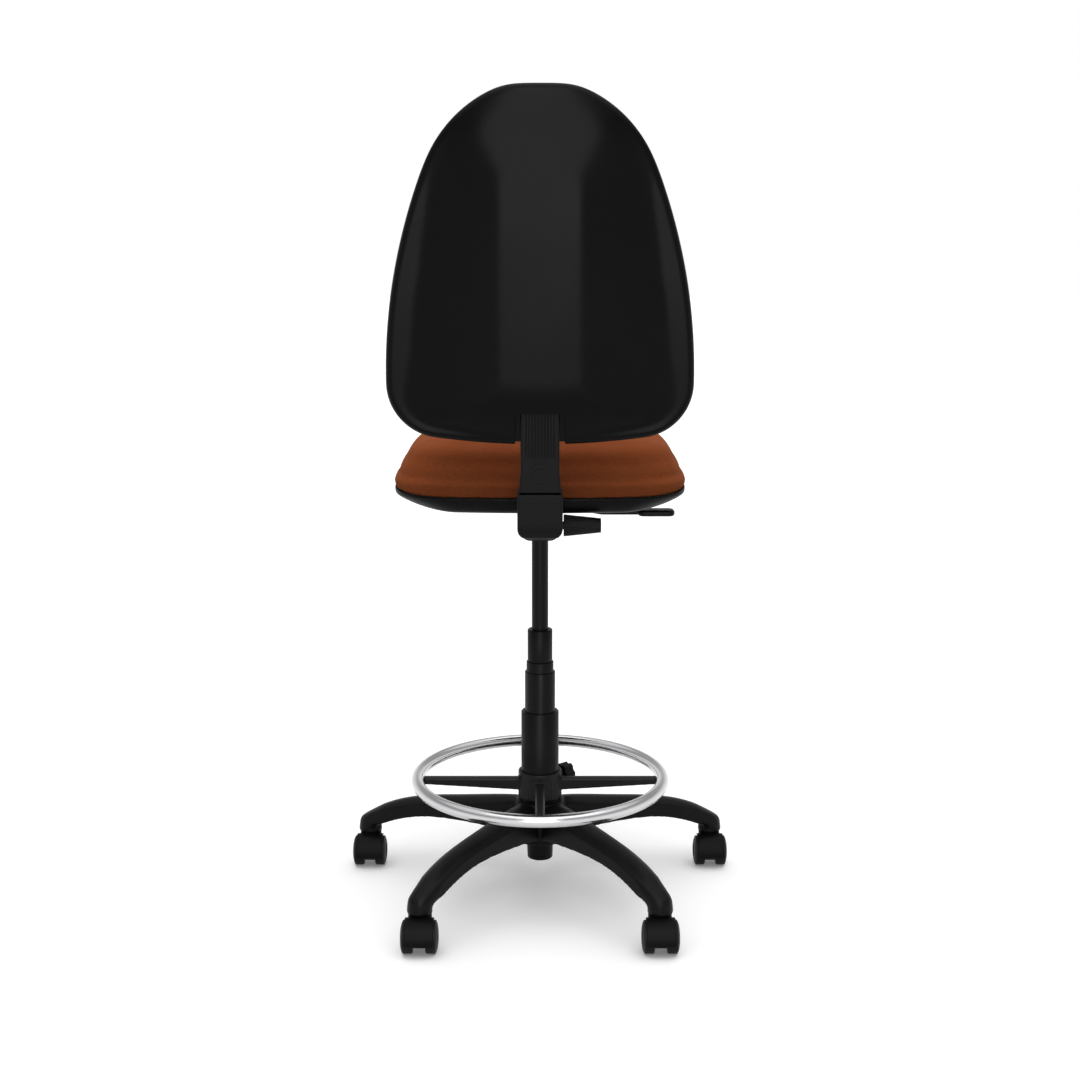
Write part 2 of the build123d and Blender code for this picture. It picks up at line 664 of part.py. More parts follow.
with BuildPart() as foot_ring_hub:
    add(ring(hub_foot_z, RING_HUB_TOP_Z - hub_foot_z, RING_HUB_D, RING_HUB_IN_D))
    hub_rims = foot_ring_hub.edges().filter_by(GeomType.CIRCLE)
    chamfer(hub_rims.filter_by(lambda e: e.radius > RING_HUB_D / 2 - 0.1), 1.0)
    with BuildSketch(knob_plane(boss_root)):
        Circle(RING_BOSS_D / 2)
    extrude(amount=RING_BOSS_END - boss_root)
    with PolarLocations(0, RING_SPOKES):
        add(spoke.part)
    with BuildSketch(Plane.XY.offset(hub_foot_z)):
        Circle(RING_HUB_IN_D / 2)
    extrude(amount=RING_HUB_TOP_Z - hub_foot_z, mode=Mode.SUBTRACT)
    with BuildSketch(knob_plane(0)):
        Circle(RING_STUD_D / 2 + RUN)
    extrude(amount=RING_BOSS_END + FREE, mode=Mode.SUBTRACT)
    add(foot_ring.part, mode=Mode.SUBTRACT)
save(foot_ring_hub.part, "foot_ring_hub")

knob_start = RING_BOSS_END + GAP
with BuildPart() as ring_knob:
    with BuildSketch(knob_plane(knob_start)):
        Circle(RING_KNOB_D / 2)
        with PolarLocations(RING_KNOB_D * 0.62, RING_KNOB_LOBES):
            Circle(RING_KNOB_D / 5, mode=Mode.SUBTRACT)
    extrude(amount=RING_KNOB_T)
    with BuildSketch(knob_plane(knob_start)):
        Circle(RING_STUD_D / 2)
    extrude(amount=RING_STUD_GRIP, mode=Mode.SUBTRACT)
save(ring_knob.part, "ring_knob")

with BuildPart() as ring_stud:
    with BuildSketch(knob_plane(RING_BUSH_OUT_D / 2 + GAP)):
        Circle(RING_STUD_D / 2)
    extrude(amount=knob_start + RING_STUD_GRIP - RING_BUSH_OUT_D / 2 - GAP)
save(ring_stud.part, "ring_stud")

# Mechanism under the seat
socket_top_z = CYLINDER_TOP_Z - FREE
half_housing = HOUSING_W / 2
ear_in = LEVER_D / 2 + FREE
tilt_side = Plane(origin=(0, TILT_Y, TILT_Z), x_dir=(0, 1, 0), z_dir=(1, 0, 0))

def housing_section(wall):
    """Section of the housing, open at the top when drawn in by wall."""
    with BuildSketch() as section:
        with Locations((0, HOUSING_FOOT_Z + wall + HOUSING_H / 2)):
            Rectangle(HOUSING_W - 2 * wall, HOUSING_H)
        fillet(section.vertices().group_by(Axis.Y)[0], HOUSING_R - wall)
    return section.sketch


with BuildPart() as mechanism_housing:
    with BuildSketch(Plane.XZ.offset(-HOUSING_FRONT)):
        add(housing_section(0.0))
    extrude(amount=HOUSING_FRONT - HOUSING_REAR)
    with BuildSketch(Plane.XZ.offset(-HOUSING_FRONT - HOUSING_WALL)):
        add(housing_section(HOUSING_WALL))
    extrude(amount=HOUSING_FRONT - HOUSING_REAR, mode=Mode.SUBTRACT)
    with BuildSketch(Plane.XY.offset(SOCKET_BOTTOM_Z)):
        Circle(SOCKET_D / 2)
    extrude(amount=socket_top_z - SOCKET_BOTTOM_Z)
    for side in (-1, 1):
        with BuildSketch(Plane.XY.offset(HOUSING_FOOT_Z)):
            with Locations((LEVER_PIVOT_X, side * (ear_in + LEVER_EAR_T / 2))):
                Rectangle(2 * LEVER_PIVOT_D, LEVER_EAR_T)
        extrude(amount=LEVER_Z + LEVER_PIVOT_D - HOUSING_FOOT_Z)
    with BuildSketch(Plane.XZ):
        with BuildLine():
            Polyline(
                (0, SOCKET_BOTTOM_Z),
                (CYLINDER_D / 2, SOCKET_BOTTOM_Z),
                (CYLINDER_D / 2 - TAPER_DROP, CYLINDER_TOP_Z),
                (CYLINDER_D / 2 - TAPER_DROP, LEVER_Z + LEVER_D),
                (0, LEVER_Z + LEVER_D),
                close=True,
            )
        make_face()
    revolve(axis=Axis.Z, mode=Mode.SUBTRACT)
    with BuildSketch(Plane.XZ):
        with Locations((LEVER_PIVOT_X, LEVER_Z)):
            Circle(LEVER_PIVOT_D / 2 + RUN)
    extrude(amount=LEVER_PIVOT_L, both=True, mode=Mode.SUBTRACT)
    with BuildSketch(Plane.YZ.offset(-half_housing - HOUSING_WALL)):
        with Locations((0, LEVER_Z - LEVER_SLOT_DROP + HOUSING_H / 2)):
            Rectangle(LEVER_SLOT_W, HOUSING_H)
    extrude(amount=3 * HOUSING_WALL, mode=Mode.SUBTRACT)
    with BuildSketch(tilt_side):
        Circle(SPINDLE_D / 2 + RUN)
    extrude(amount=HOUSING_W, both=True, mode=Mode.SUBTRACT)
save(mechanism_housing.part, "mechanism_housing")

with BuildPart() as seat_plate:
    with BuildSketch(Plane.XY.offset(PLATE_Z)):
        RectangleRounded(PLATE_W, PLATE_D, PLATE_CORNER)
        with GridLocations(BOLT_X, BOLT_Y, 2, 2):
            Circle(BOLT_D / 2 + GAP, mode=Mode.SUBTRACT)
    extrude(amount=PLATE_T)
save(seat_plate.part, "seat_plate")

with BuildPart() as seat_bolts:
    with BuildSketch(Plane.XY.offset(PLATE_Z - BOLT_HEAD_T)):
        with GridLocations(BOLT_X, BOLT_Y, 2, 2):
            RegularPolygon(BOLT_HEAD_D / 2, 6, major_radius=False)
    extrude(amount=BOLT_HEAD_T)
    with BuildSketch(Plane.XY.offset(PLATE_Z)):
        with GridLocations(BOLT_X, BOLT_Y, 2, 2):
            Circle(BOLT_D / 2)
    extrude(amount=BOARD_Z + BOLT_BITE - PLATE_Z)
save(seat_bolts.part, "seat_bolts")

knob_in = half_housing + TILT_KNOB_GAP
with BuildPart() as tilt_spindle:
    with BuildSketch(tilt_side.offset(-knob_in - TILT_KNOB_GRIP)):
        Circle(SPINDLE_D / 2)
    extrude(amount=knob_in + TILT_KNOB_GRIP + half_housing)
    with BuildSketch(tilt_side.offset(half_housing)):
        RegularPolygon(SPINDLE_HEAD_D / 2, 6, major_radius=False)
    extrude(amount=SPINDLE_HEAD_T)
save(tilt_spindle.part, "tilt_spindle")

knob_side = Plane(origin=(-knob_in, TILT_Y, TILT_Z), x_dir=(0, 1, 0), z_dir=(-1, 0, 0))
with BuildPart() as tilt_knob:
    with BuildSketch(knob_side):
        Circle(TILT_KNOB_D / 2)
        with PolarLocations(TILT_KNOB_D / 2, TILT_KNOB_RIBS):
            Circle(TILT_KNOB_RIB_D / 2, mode=Mode.SUBTRACT)
    extrude(amount=TILT_KNOB_L, taper=TILT_KNOB_TAPER)
    with BuildSketch(knob_side):
        Circle(SPINDLE_D / 2 + RUN)
    extrude(amount=TILT_KNOB_GRIP + GAP, mode=Mode.SUBTRACT)
save(tilt_knob.part, "tilt_knob")

paddle_start = PADDLE_END_X + PADDLE_L
with BuildPart() as lift_lever:
    with BuildLine(Plane.XZ):
        FilletPolyline(
            (LEVER_INNER_X, LEVER_Z),
            (-half_housing - FREE, LEVER_Z),
            (LEVER_BEND_X, PADDLE_Z),
            (paddle_start - LEVER_GRIP, PADDLE_Z),
            radius=LEVER_BEND_R,
        )
    with BuildSketch(Plane.YZ.offset(LEVER_INNER_X)):
        with Locations((0, LEVER_Z)):
            Circle(LEVER_D / 2)
    sweep()
    with BuildSketch(Plane.XZ):
        with Locations((LEVER_PIVOT_X, LEVER_Z)):
            Circle(LEVER_PIVOT_D / 2)
    extrude(amount=LEVER_PIVOT_L / 2, both=True)
save(lift_lever.part, "lift_lever")

with BuildPart() as lever_paddle:
    with BuildSketch(Plane.XY.offset(PADDLE_Z - PADDLE_T / 2)):
        with Locations((PADDLE_END_X + PADDLE_L / 2, 0)):
            RectangleRounded(PADDLE_L, PADDLE_W, PADDLE_T)
    extrude(amount=PADDLE_T)
    rims = lever_paddle.edges().group_by(Axis.Z)
    fillet(rims[0] + rims[-1], PADDLE_T * 0.4)
    with BuildSketch(Plane.YZ.offset(paddle_start - LEVER_GRIP)):
        with Locations((0, PADDLE_Z)):
            Circle(LEVER_D / 2)
    extrude(amount=2 * LEVER_GRIP, mode=Mode.SUBTRACT)
save(lever_paddle.part, "lever_paddle")


# Seat, drawn as arcs that share their centres at every inset
def corner_centre(middle, reach, side_middle, side_reach):
    """Rightmost point at the given reaches from two centres."""
    span = side_middle - middle
    along = (reach**2 - side_reach**2 + span.length**2) / (2 * span.length)
    off = sqrt(reach**2 - along**2)
    way = span.normalized()
    turns = [Vector(-way.Y, way.X), Vector(way.Y, -way.X)]
    return max((middle + way * along + turn * off for turn in turns), key=lambda point: point.X)


def heading_to(middle, point):
    """Angle in degrees of a point seen from a centre."""
    return degrees(atan2(point.Y - middle.Y, point.X - middle.X))


def arc_both(middle, radius, start, end):
    """An arc in the line in use, and its mirror image across the Y axis."""
    CenterArc((middle.X, middle.Y), radius, start, end - start)
    CenterArc((-middle.X, middle.Y), radius, 180 - end, end - start)


seat_side = Vector(SEAT_W / 2 - SEAT_SIDE_R, SEAT_WIDEST_Y)
seat_back = Vector(0, SEAT_REAR - SEAT_REAR_R)
seat_fore = Vector(0, SEAT_FRONT + SEAT_FRONT_R)
rear_corner = corner_centre(
    seat_back, SEAT_REAR_R - SEAT_REAR_CORNER, seat_side, SEAT_SIDE_R - SEAT_REAR_CORNER
)
front_corner = corner_centre(
    seat_fore, SEAT_FRONT_R - SEAT_FRONT_CORNER, seat_side, SEAT_SIDE_R - SEAT_FRONT_CORNER
)


def seat_outline(inset):
    """Plan of the seat, drawn in by inset."""
    side_end = heading_to(seat_side, rear_corner)
    side_start = heading_to(seat_side, front_corner)
    rear_start = heading_to(seat_back, rear_corner)
    fore_end = heading_to(seat_fore, front_corner)
    with BuildSketch() as plan:
        with BuildLine():
            arc_both(seat_side, SEAT_SIDE_R - inset, side_start, side_end)
            arc_both(rear_corner, SEAT_REAR_CORNER - inset, side_end, rear_start)
            CenterArc((0, seat_back.Y), SEAT_REAR_R - inset, rear_start, 180 - 2 * rear_start)
            arc_both(front_corner, SEAT_FRONT_CORNER - inset, fore_end, side_start)
            CenterArc((0, seat_fore.Y), SEAT_FRONT_R - inset, -180 - fore_end, 180 + 2 * fore_end)
        make_face()
    return plan.sketch


def pan_form(wall):
    """Dished form of the pan, drawn in all round by wall."""
    steps = [(0.0, 0.0), (0.45, 0.1), (0.8, 0.4), (1.0, 1.0)]
    with BuildPart() as form:
        for fall, draw in steps:
            with BuildSketch(Plane.XY.offset(PAN_Z + PAN_H - fall * (PAN_H - wall))):
                add(seat_outline(PAN_INSET + wall + draw * PAN_FALL))
        loft()
    return form.part


with BuildPart() as seat_pan:
    add(pan_form(0.0))
    add(pan_form(PAN_WALL), mode=Mode.SUBTRACT)
    with BuildSketch(Plane.XY.offset(PAN_Z)):
        with GridLocations(BOLT_X, BOLT_Y, 2, 2):
            Circle(PAN_POST_D / 2)
        with Locations((0, ARMREST_MIDDLE_Y)):
            with GridLocations(ARMREST_X, ARMREST_Y, 2, 2):
                Circle(PAN_POST_D / 2)
    extrude(amount=BOARD_Z - PAN_Z)
    with BuildSketch(Plane.XY.offset(PAN_Z)):
        with GridLocations(BOLT_X, BOLT_Y, 2, 2):
            Circle(BOLT_D / 2 + GAP)
        with Locations((0, ARMREST_MIDDLE_Y)):
            with GridLocations(ARMREST_X, ARMREST_Y, 2, 2):
                Circle(ARMREST_HOLE_D / 2)
    extrude(amount=PAN_H, mode=Mode.SUBTRACT)
save(seat_pan.part, "seat_pan")

with BuildPart() as seat_board:
    with BuildSketch(Plane.XY.offset(BOARD_Z)):
        add(seat_outline(PAN_INSET + BOARD_INSET))
        with GridLocations(BOLT_X, BOLT_Y, 2, 2):
            Circle(BOLT_D / 2 + RUN, mode=Mode.SUBTRACT)
        with Locations((0, ARMREST_MIDDLE_Y)):
            with GridLocations(ARMREST_X, ARMREST_Y, 2, 2):
                Circle(ARMREST_HOLE_D / 2, mode=Mode.SUBTRACT)
    extrude(amount=BOARD_T)
save(seat_board.part, "seat_board")

with BuildPart() as seat_cushion:
    shoulder_z = CUSHION_H - CUSHION_CROWN
    cushion_steps = [
        (0.0, CUSHION_TUCK),
        (CUSHION_ROLL, 0.0),
        (shoulder_z - CUSHION_SHOULDER, CUSHION_DRAW),
        (shoulder_z, CUSHION_DRAW + CUSHION_SHOULDER_IN),
        (CUSHION_H, CUSHION_DRAW + 1.5 * CUSHION_SHOULDER_IN),
    ]
    for height, inset in cushion_steps:
        with BuildSketch(Plane.XY.offset(CUSHION_Z + height)):
            add(seat_outline(inset))
    loft()
    crown_reach = SEAT_W / 2 - CUSHION_DRAW
    crown_r = (crown_reach**2 + CUSHION_CROWN**2) / (2 * CUSHION_CROWN)
    with Locations((0, (SEAT_FRONT + SEAT_REAR) / 2, CUSHION_Z + CUSHION_H - crown_r)):
        Sphere(crown_r, mode=Mode.INTERSECT)
save(seat_cushion.part, "seat_cushion")

# Back stem: the bent bar and its covers
rake = radians(BACK_RAKE)


def back_yz(height, behind):
    """Y and Z of a point of the back, from its height along the back and its depth behind the rim."""
    return (
        BACK_Y + height * sin(rake) + behind * cos(rake),
        BACK_Z + height * cos(rake) - behind * sin(rake),
    )


def back_y_at(level, behind):
    """Y at which a plane of the back crosses a level."""
    height = (level - BACK_Z + behind * sin(rake)) / cos(rake)
    return back_yz(height, behind)[0]


pivot_d = SPINDLE_D + 2 * RUN + 2 * PIVOT_WALL
with BuildPart() as back_bar:
    with BuildLine(Plane.YZ):
        FilletPolyline(
            (TILT_Y, TILT_Z),
            (back_y_at(TILT_Z, BAR_OFFSET), TILT_Z),
            back_yz(BAR_TOP, BAR_OFFSET),
            radius=BAR_BEND,
        )
    with BuildSketch(Plane(origin=(0, TILT_Y, TILT_Z), x_dir=(1, 0, 0), z_dir=(0, 1, 0))):
        Rectangle(BAR_W, BAR_T)
    sweep()
    pivot_l = HOUSING_W - 2 * HOUSING_WALL - 2 * GAP
    with BuildSketch(tilt_side):
        Circle(pivot_d / 2)
    extrude(amount=pivot_l / 2, both=True)
    with BuildSketch(tilt_side):
        Circle(SPINDLE_D / 2 + RUN)
    extrude(amount=HOUSING_W, both=True, mode=Mode.SUBTRACT)
save(back_bar.part, "back_bar")

cover_front = BAR_OFFSET - BAR_T / 2 - COVER_WALL
cover_rear = BAR_OFFSET + BAR_T / 2 + COVER_REAR_WALL
with BuildPart() as stem_cover:
    with BuildSketch(BACK.offset(cover_front)):
        with BuildLine():
            half = COVER_W / 2
            foot = COVER_FOOT_W / 2
            neck = COVER_FOOT + COVER_FLARE
            Polyline(
                (-foot, COVER_FOOT),
                (foot, COVER_FOOT),
                (half, neck),
                (half, COVER_TOP),
                (-half, COVER_TOP),
                (-half, neck),
                close=True,
            )
        make_face()
    extrude(amount=cover_rear - cover_front)
    rear_face = stem_cover.faces().sort_by(Axis(BACK.origin, BACK.z_dir))[-1]
    fillet(rear_face.edges().filter_by(lambda e: e.length > COVER_FLARE), COVER_EDGE_R)
    with BuildSketch(BACK.offset(BAR_OFFSET - BAR_T / 2)):
        with Locations((0, (COVER_FOOT + COVER_TOP) / 2)):
            Rectangle(BAR_W, 2 * (COVER_TOP - COVER_FOOT))
    extrude(amount=BAR_T, mode=Mode.SUBTRACT)
    rib_foot = CAP_V + CAP_D / 2 + FREE
    with BuildSketch(BACK.offset(cover_rear - COVER_RIB_DEPTH)):
        with Locations((0, (rib_foot + COVER_TOP) / 2)):
            with GridLocations(COVER_RIB_PITCH, 1, COVER_RIBS, 1):
                Rectangle(COVER_RIB_W, COVER_TOP - rib_foot)
    extrude(amount=2 * COVER_RIB_DEPTH, mode=Mode.SUBTRACT)
    with BuildSketch(BACK.offset(cover_rear - CAP_DEPTH)):
        with Locations((0, CAP_V)):
            Circle(CAP_D / 2 + SLIDE)
    extrude(amount=2 * CAP_DEPTH, mode=Mode.SUBTRACT)
save(stem_cover.part, "stem_cover")

with BuildPart() as stem_cap:
    with BuildSketch(BACK.offset(cover_rear - CAP_DEPTH)):
        with Locations((0, CAP_V)):
            Circle(CAP_D / 2)
    extrude(amount=CAP_DEPTH + CAP_PROUD)
    with BuildSketch(BACK.offset(cover_rear)):
        with Locations((0, CAP_V)):
            Circle(CAP_INNER_D / 2 + FREE)
            Circle(CAP_INNER_D / 2, mode=Mode.SUBTRACT)
    extrude(amount=2 * CAP_PROUD, mode=Mode.SUBTRACT)
save(stem_cap.part, "stem_cap")


def boot_form(wall, top, front):
    """L-shaped form of the boot, drawn in by wall."""
    foot_z = BOOT_FOOT_Z + wall
    step_z = BOOT_STEP_Z - wall
    rear = BOOT_REAR - wall
    face = BOOT_FACE + wall
    heel = (back_y_at(foot_z, rear), foot_z)
    with BuildPart() as form:
        with BuildSketch(Plane.YZ) as outline:
            with BuildLine():
                Polyline(
                    (front, foot_z),
                    heel,
                    back_yz(top, rear),
                    back_yz(top, face),
                    (back_y_at(step_z, face), step_z),
                    (front, step_z),
                    close=True,
                )
            make_face()
            fillet(outline.vertices().sort_by_distance(heel)[0], BOOT_HEEL_R - wall)
        extrude(amount=BOOT_W / 2 - wall, both=True)
        with BuildSketch(Plane.XZ) as end:
            with Locations((0, foot_z + BACK_Z / 2)):
                Rectangle(BOOT_W - 2 * wall, BACK_Z)
            fillet(end.vertices().group_by(Axis.Y)[0], BOOT_CORNER - wall)
        extrude(amount=-2 * BACK_Y, mode=Mode.INTERSECT)
    return form.part


with BuildPart() as stem_boot:
    add(boot_form(0.0, COVER_FOOT, BOOT_FRONT))
    add(boot_form(BOOT_WALL, COVER_FOOT + BOOT_WALL, BOOT_FRONT - BOOT_WALL), mode=Mode.SUBTRACT)
save(stem_boot.part, "stem_boot")

# Backrest, drawn as arcs that share their centres at every inset
back_corner_x = BACK_W / 2 - BACK_CORNER_R
bottom_turn = degrees(asin(back_corner_x / (BACK_BOTTOM_R - BACK_CORNER_R)))
back_corner_v = BACK_BOTTOM_R - (BACK_BOTTOM_R - BACK_CORNER_R) * cos(radians(bottom_turn))
top_rise = (BACK_SHOULDER_R - BACK_TOP_R) * sin(radians(BACK_TOP_TURN)) + BACK_TOP_R
side_rise = (BACK_H - back_corner_v - top_rise) / (BACK_SIDE_R - BACK_SHOULDER_R)
side_turn = degrees(asin(side_rise))
back_side = Vector(BACK_W / 2 - BACK_SIDE_R, back_corner_v)
back_shoulder = back_side + Vector(cos(radians(side_turn)), sin(radians(side_turn))) * (
    BACK_SIDE_R - BACK_SHOULDER_R
)
back_top = back_shoulder + Vector(cos(radians(BACK_TOP_TURN)), sin(radians(BACK_TOP_TURN))) * (
    BACK_SHOULDER_R - BACK_TOP_R
)


def back_outline(inset):
    """Outline of the back, drawn in by inset."""
    with BuildSketch() as outline:
        with BuildLine():
            CenterArc((0, BACK_BOTTOM_R), BACK_BOTTOM_R - inset, -90 - bottom_turn, 2 * bottom_turn)
            arc_both(Vector(back_corner_x, back_corner_v), BACK_CORNER_R - inset, bottom_turn - 90, 0)
            arc_both(back_side, BACK_SIDE_R - inset, 0, side_turn)
            arc_both(back_shoulder, BACK_SHOULDER_R - inset, side_turn, BACK_TOP_TURN)
            arc_both(back_top, BACK_TOP_R - inset, BACK_TOP_TURN, 90)
            Line((back_top.X, BACK_H - inset), (-back_top.X, BACK_H - inset))
        make_face()
    return outline.sketch


def shell_form(wall):
    """Dished form of the rear shell, drawn in all round by wall."""
    steps = [(0.0, 0.0), (0.3, 0.1), (0.75, 0.42), (1.0, 1.0)]
    with BuildPart() as form:
        for depth, draw in steps:
            with BuildSketch(BACK.offset(depth * (SHELL_DEPTH - wall))):
                add(back_outline(wall + draw * SHELL_FALL))
        loft()
    return form.part


with BuildPart() as back_shell:
    add(shell_form(0.0))
    add(shell_form(SHELL_WALL), mode=Mode.SUBTRACT)
    with BuildSketch(BACK.offset(cover_front - FREE)):
        with Locations((0, 0)):
            Rectangle(NOTCH_W, 2 * NOTCH_H)
    extrude(amount=SHELL_DEPTH, mode=Mode.SUBTRACT)
save(back_shell.part, "back_shell")

with BuildPart() as back_board:
    with BuildSketch(BACK):
        add(back_outline(BACK_BOARD_INSET))
    extrude(amount=-BACK_BOARD_T)
    with BuildSketch(BACK):
        with Locations((0, SLIDER_V + SLIDER_H / 2)):
            with GridLocations(BACK_SCREW_X, BACK_SCREW_V, 2, 2):
                Circle(BACK_SCREW_D / 2 + RUN)
    extrude(amount=-BACK_BOARD_T, mode=Mode.SUBTRACT)
save(back_board.part, "back_board")

with BuildPart() as back_cushion:
    pad_shoulder = PAD_T - PAD_CROWN
    pad_steps = [
        (0.0, PAD_TUCK),
        (PAD_ROLL, 0.0),
        (pad_shoulder - PAD_SHOULDER, PAD_DRAW),
        (pad_shoulder, PAD_DRAW + PAD_SHOULDER_IN),
        (PAD_T, PAD_DRAW + 1.25 * PAD_SHOULDER_IN),
    ]
    for depth, inset in pad_steps:
        with BuildSketch(BACK.offset(-depth)):
            add(back_outline(inset))
    loft()
    pad_reach = BACK_W / 2 - PAD_DRAW
    pad_crown_r = (pad_reach**2 + PAD_CROWN**2) / (2 * PAD_CROWN)
    crown_y, crown_z = back_yz(PAD_CROWN_V, pad_crown_r - PAD_T)
    with Locations((0, crown_y, crown_z)):
        Sphere(pad_crown_r, mode=Mode.INTERSECT)
    with BuildSketch(BACK):
        add(back_outline(BACK_BOARD_INSET))
    extrude(amount=-BACK_BOARD_T, mode=Mode.SUBTRACT)
save(back_cushion.part, "back_cushion")

slider_mid = SLIDER_V + SLIDER_H / 2
with BuildPart() as back_slider:
    with BuildSketch(BACK):
        with Locations((0, slider_mid)):
            RectangleRounded(SLIDER_FLANGE_W, SLIDER_H, 2 * SLIDER_FLANGE_T)
    extrude(amount=SLIDER_FLANGE_T)
    with BuildSketch(BACK):
        with Locations((0, slider_mid)):
            Rectangle(SLIDER_W, SLIDER_H)
    extrude(amount=SLIDER_T)
    with BuildSketch(BACK.offset(BAR_OFFSET - BAR_T / 2 - SLIDE)):
        with Locations((0, slider_mid)):
            Rectangle(BAR_W + 2 * SLIDE, 2 * SLIDER_H)
    extrude(amount=BAR_T + 2 * SLIDE, mode=Mode.SUBTRACT)
    with BuildSketch(BACK):
        with Locations((0, slider_mid)):
            with GridLocations(BACK_SCREW_X, BACK_SCREW_V, 2, 2):
                Circle(BACK_SCREW_D / 2 + RUN)
    extrude(amount=SLIDER_FLANGE_T, mode=Mode.SUBTRACT)
save(back_slider.part, "back_slider")

with BuildPart() as back_screws:
    with BuildSketch(BACK.offset(-BACK_SCREW_BITE)):
        with Locations((0, slider_mid)):
            with GridLocations(BACK_SCREW_X, BACK_SCREW_V, 2, 2):
                Circle(BACK_SCREW_D / 2)
    extrude(amount=BACK_SCREW_BITE + SLIDER_FLANGE_T)
    with BuildSketch(BACK.offset(SLIDER_FLANGE_T)):
        with Locations((0, slider_mid)):
            with GridLocations(BACK_SCREW_X, BACK_SCREW_V, 2, 2):
                Circle(BACK_SCREW_HEAD_D / 2)
    extrude(amount=BACK_SCREW_HEAD_T)
save(back_screws.part, "back_screws")
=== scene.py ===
import math

import bmesh
import bpy
import numpy as np
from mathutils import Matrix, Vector


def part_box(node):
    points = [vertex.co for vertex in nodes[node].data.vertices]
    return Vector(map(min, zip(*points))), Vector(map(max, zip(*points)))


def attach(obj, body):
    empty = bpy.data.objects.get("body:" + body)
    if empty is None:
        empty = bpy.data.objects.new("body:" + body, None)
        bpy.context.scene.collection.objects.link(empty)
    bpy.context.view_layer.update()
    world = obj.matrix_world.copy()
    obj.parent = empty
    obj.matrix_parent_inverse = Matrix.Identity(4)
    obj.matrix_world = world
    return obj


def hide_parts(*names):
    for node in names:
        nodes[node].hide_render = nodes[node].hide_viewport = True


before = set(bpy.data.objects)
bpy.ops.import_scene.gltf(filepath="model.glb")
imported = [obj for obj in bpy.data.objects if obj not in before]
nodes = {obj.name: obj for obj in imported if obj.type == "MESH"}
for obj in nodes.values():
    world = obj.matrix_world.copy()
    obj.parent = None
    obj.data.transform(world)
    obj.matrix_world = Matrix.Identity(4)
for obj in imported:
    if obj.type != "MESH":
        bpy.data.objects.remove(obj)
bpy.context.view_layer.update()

scene = bpy.context.scene
MM = 0.001


# Materials

def adder(tree):
    """A short way to add nodes to a tree, with their links and values."""

    def add(kind, links=(), **values):
        node = tree.nodes.new(kind)
        for key, value in values.items():
            if hasattr(node, key):
                setattr(node, key, value)
            else:
                node.inputs[key.replace("_", " ")].default_value = value
        for socket, source in links:
            tree.links.new(source, node.inputs[socket])
        return node

    return add


def new_material(name):
    """A material with its node tree, its shader and the adder of its nodes."""
    mat = bpy.data.materials.new(name)
    mat.use_nodes = True
    tree = mat.node_tree
    return mat, tree, tree.nodes["Principled BSDF"], adder(tree)


def calc(add, operation, first, second=None):
    """A maths node on sockets or plain numbers."""
    node = add("ShaderNodeMath", operation=operation)
    for slot, value in enumerate((first, second)):
        if value is None:
            continue
        if isinstance(value, (int, float)):
            node.inputs[slot].default_value = value
        else:
            node.id_data.links.new(value, node.inputs[slot])
    return node.outputs[0]


def ramp(node, stops):
    """Set the stops of a colour ramp."""
    elements = node.color_ramp.elements
    while len(elements) > 1:
        elements.remove(elements[-1])
    elements[0].position, elements[0].color = stops[0][0], (*stops[0][1], 1)
    for place, colour in stops[1:]:
        elements.new(place).color = (*colour, 1)


def spread(add, value, low, high, start, end):
    """Map a value from low..high to start..end."""
    node = add("ShaderNodeMapRange", [("Value", value)], From_Min=low, From_Max=high, To_Min=start, To_Max=end)
    return node.outputs["Result"]


def seen_directly(add):
    """The light path, and a value of 1 for rays from the camera, gloss and glass and 0 for scattered ones."""
    path = add("ShaderNodeLightPath")
    shown = calc(add, "MAXIMUM", path.outputs["Is Camera Ray"], path.outputs["Is Glossy Ray"])
    return path, calc(add, "MAXIMUM", shown, path.outputs["Is Transmission Ray"])


def scaled(colour, share):
    """A colour made darker or paler."""
    return tuple(c * share for c in colour)


def moulded_plastic(name, colour, rough, specular, grain=0.0011, depth=0.00004, worn=1.6):
    """Black moulded plastic: fine spark grain, patchy gloss, flow marks and paler rubbed edges."""
    mat, tree, shader, add = new_material(name)
    place = add("ShaderNodeTexCoord").outputs["Object"]
    patch = add("ShaderNodeTexNoise", [("Vector", place)], Scale=9.0, Detail=4.0, Roughness=0.6)
    tint = add("ShaderNodeValToRGB", [("Fac", patch.outputs["Fac"])])
    ramp(tint, [(0.3, scaled(colour, 0.88)), (0.7, scaled(colour, 1.12))])
    edge = add("ShaderNodeNewGeometry").outputs["Pointiness"]
    mix = add("ShaderNodeMix", data_type="RGBA")
    tree.links.new(spread(add, edge, 0.53, 0.64, 0.0, 0.6), mix.inputs["Factor"])
    tree.links.new(tint.outputs["Color"], mix.inputs[6])
    mix.inputs[7].default_value = (*scaled(colour, worn), 1)
    tree.links.new(mix.outputs[2], shader.inputs["Base Color"])
    tree.links.new(spread(add, patch.outputs["Fac"], 0.3, 0.7, *rough), shader.inputs["Roughness"])
    cells = add("ShaderNodeTexVoronoi", [("Vector", place)], Scale=1 / grain)
    fine = add("ShaderNodeTexNoise", [("Vector", place)], Scale=2.2 / grain, Detail=2.0)
    height = calc(add, "ADD", cells.outputs["Distance"], fine.outputs["Fac"])
    bump = add("ShaderNodeBump", [("Height", height)], Strength=0.5, Distance=depth)
    tree.links.new(bump.outputs["Normal"], shader.inputs["Normal"])
    shader.inputs["Specular IOR Level"].default_value = specular
    return mat


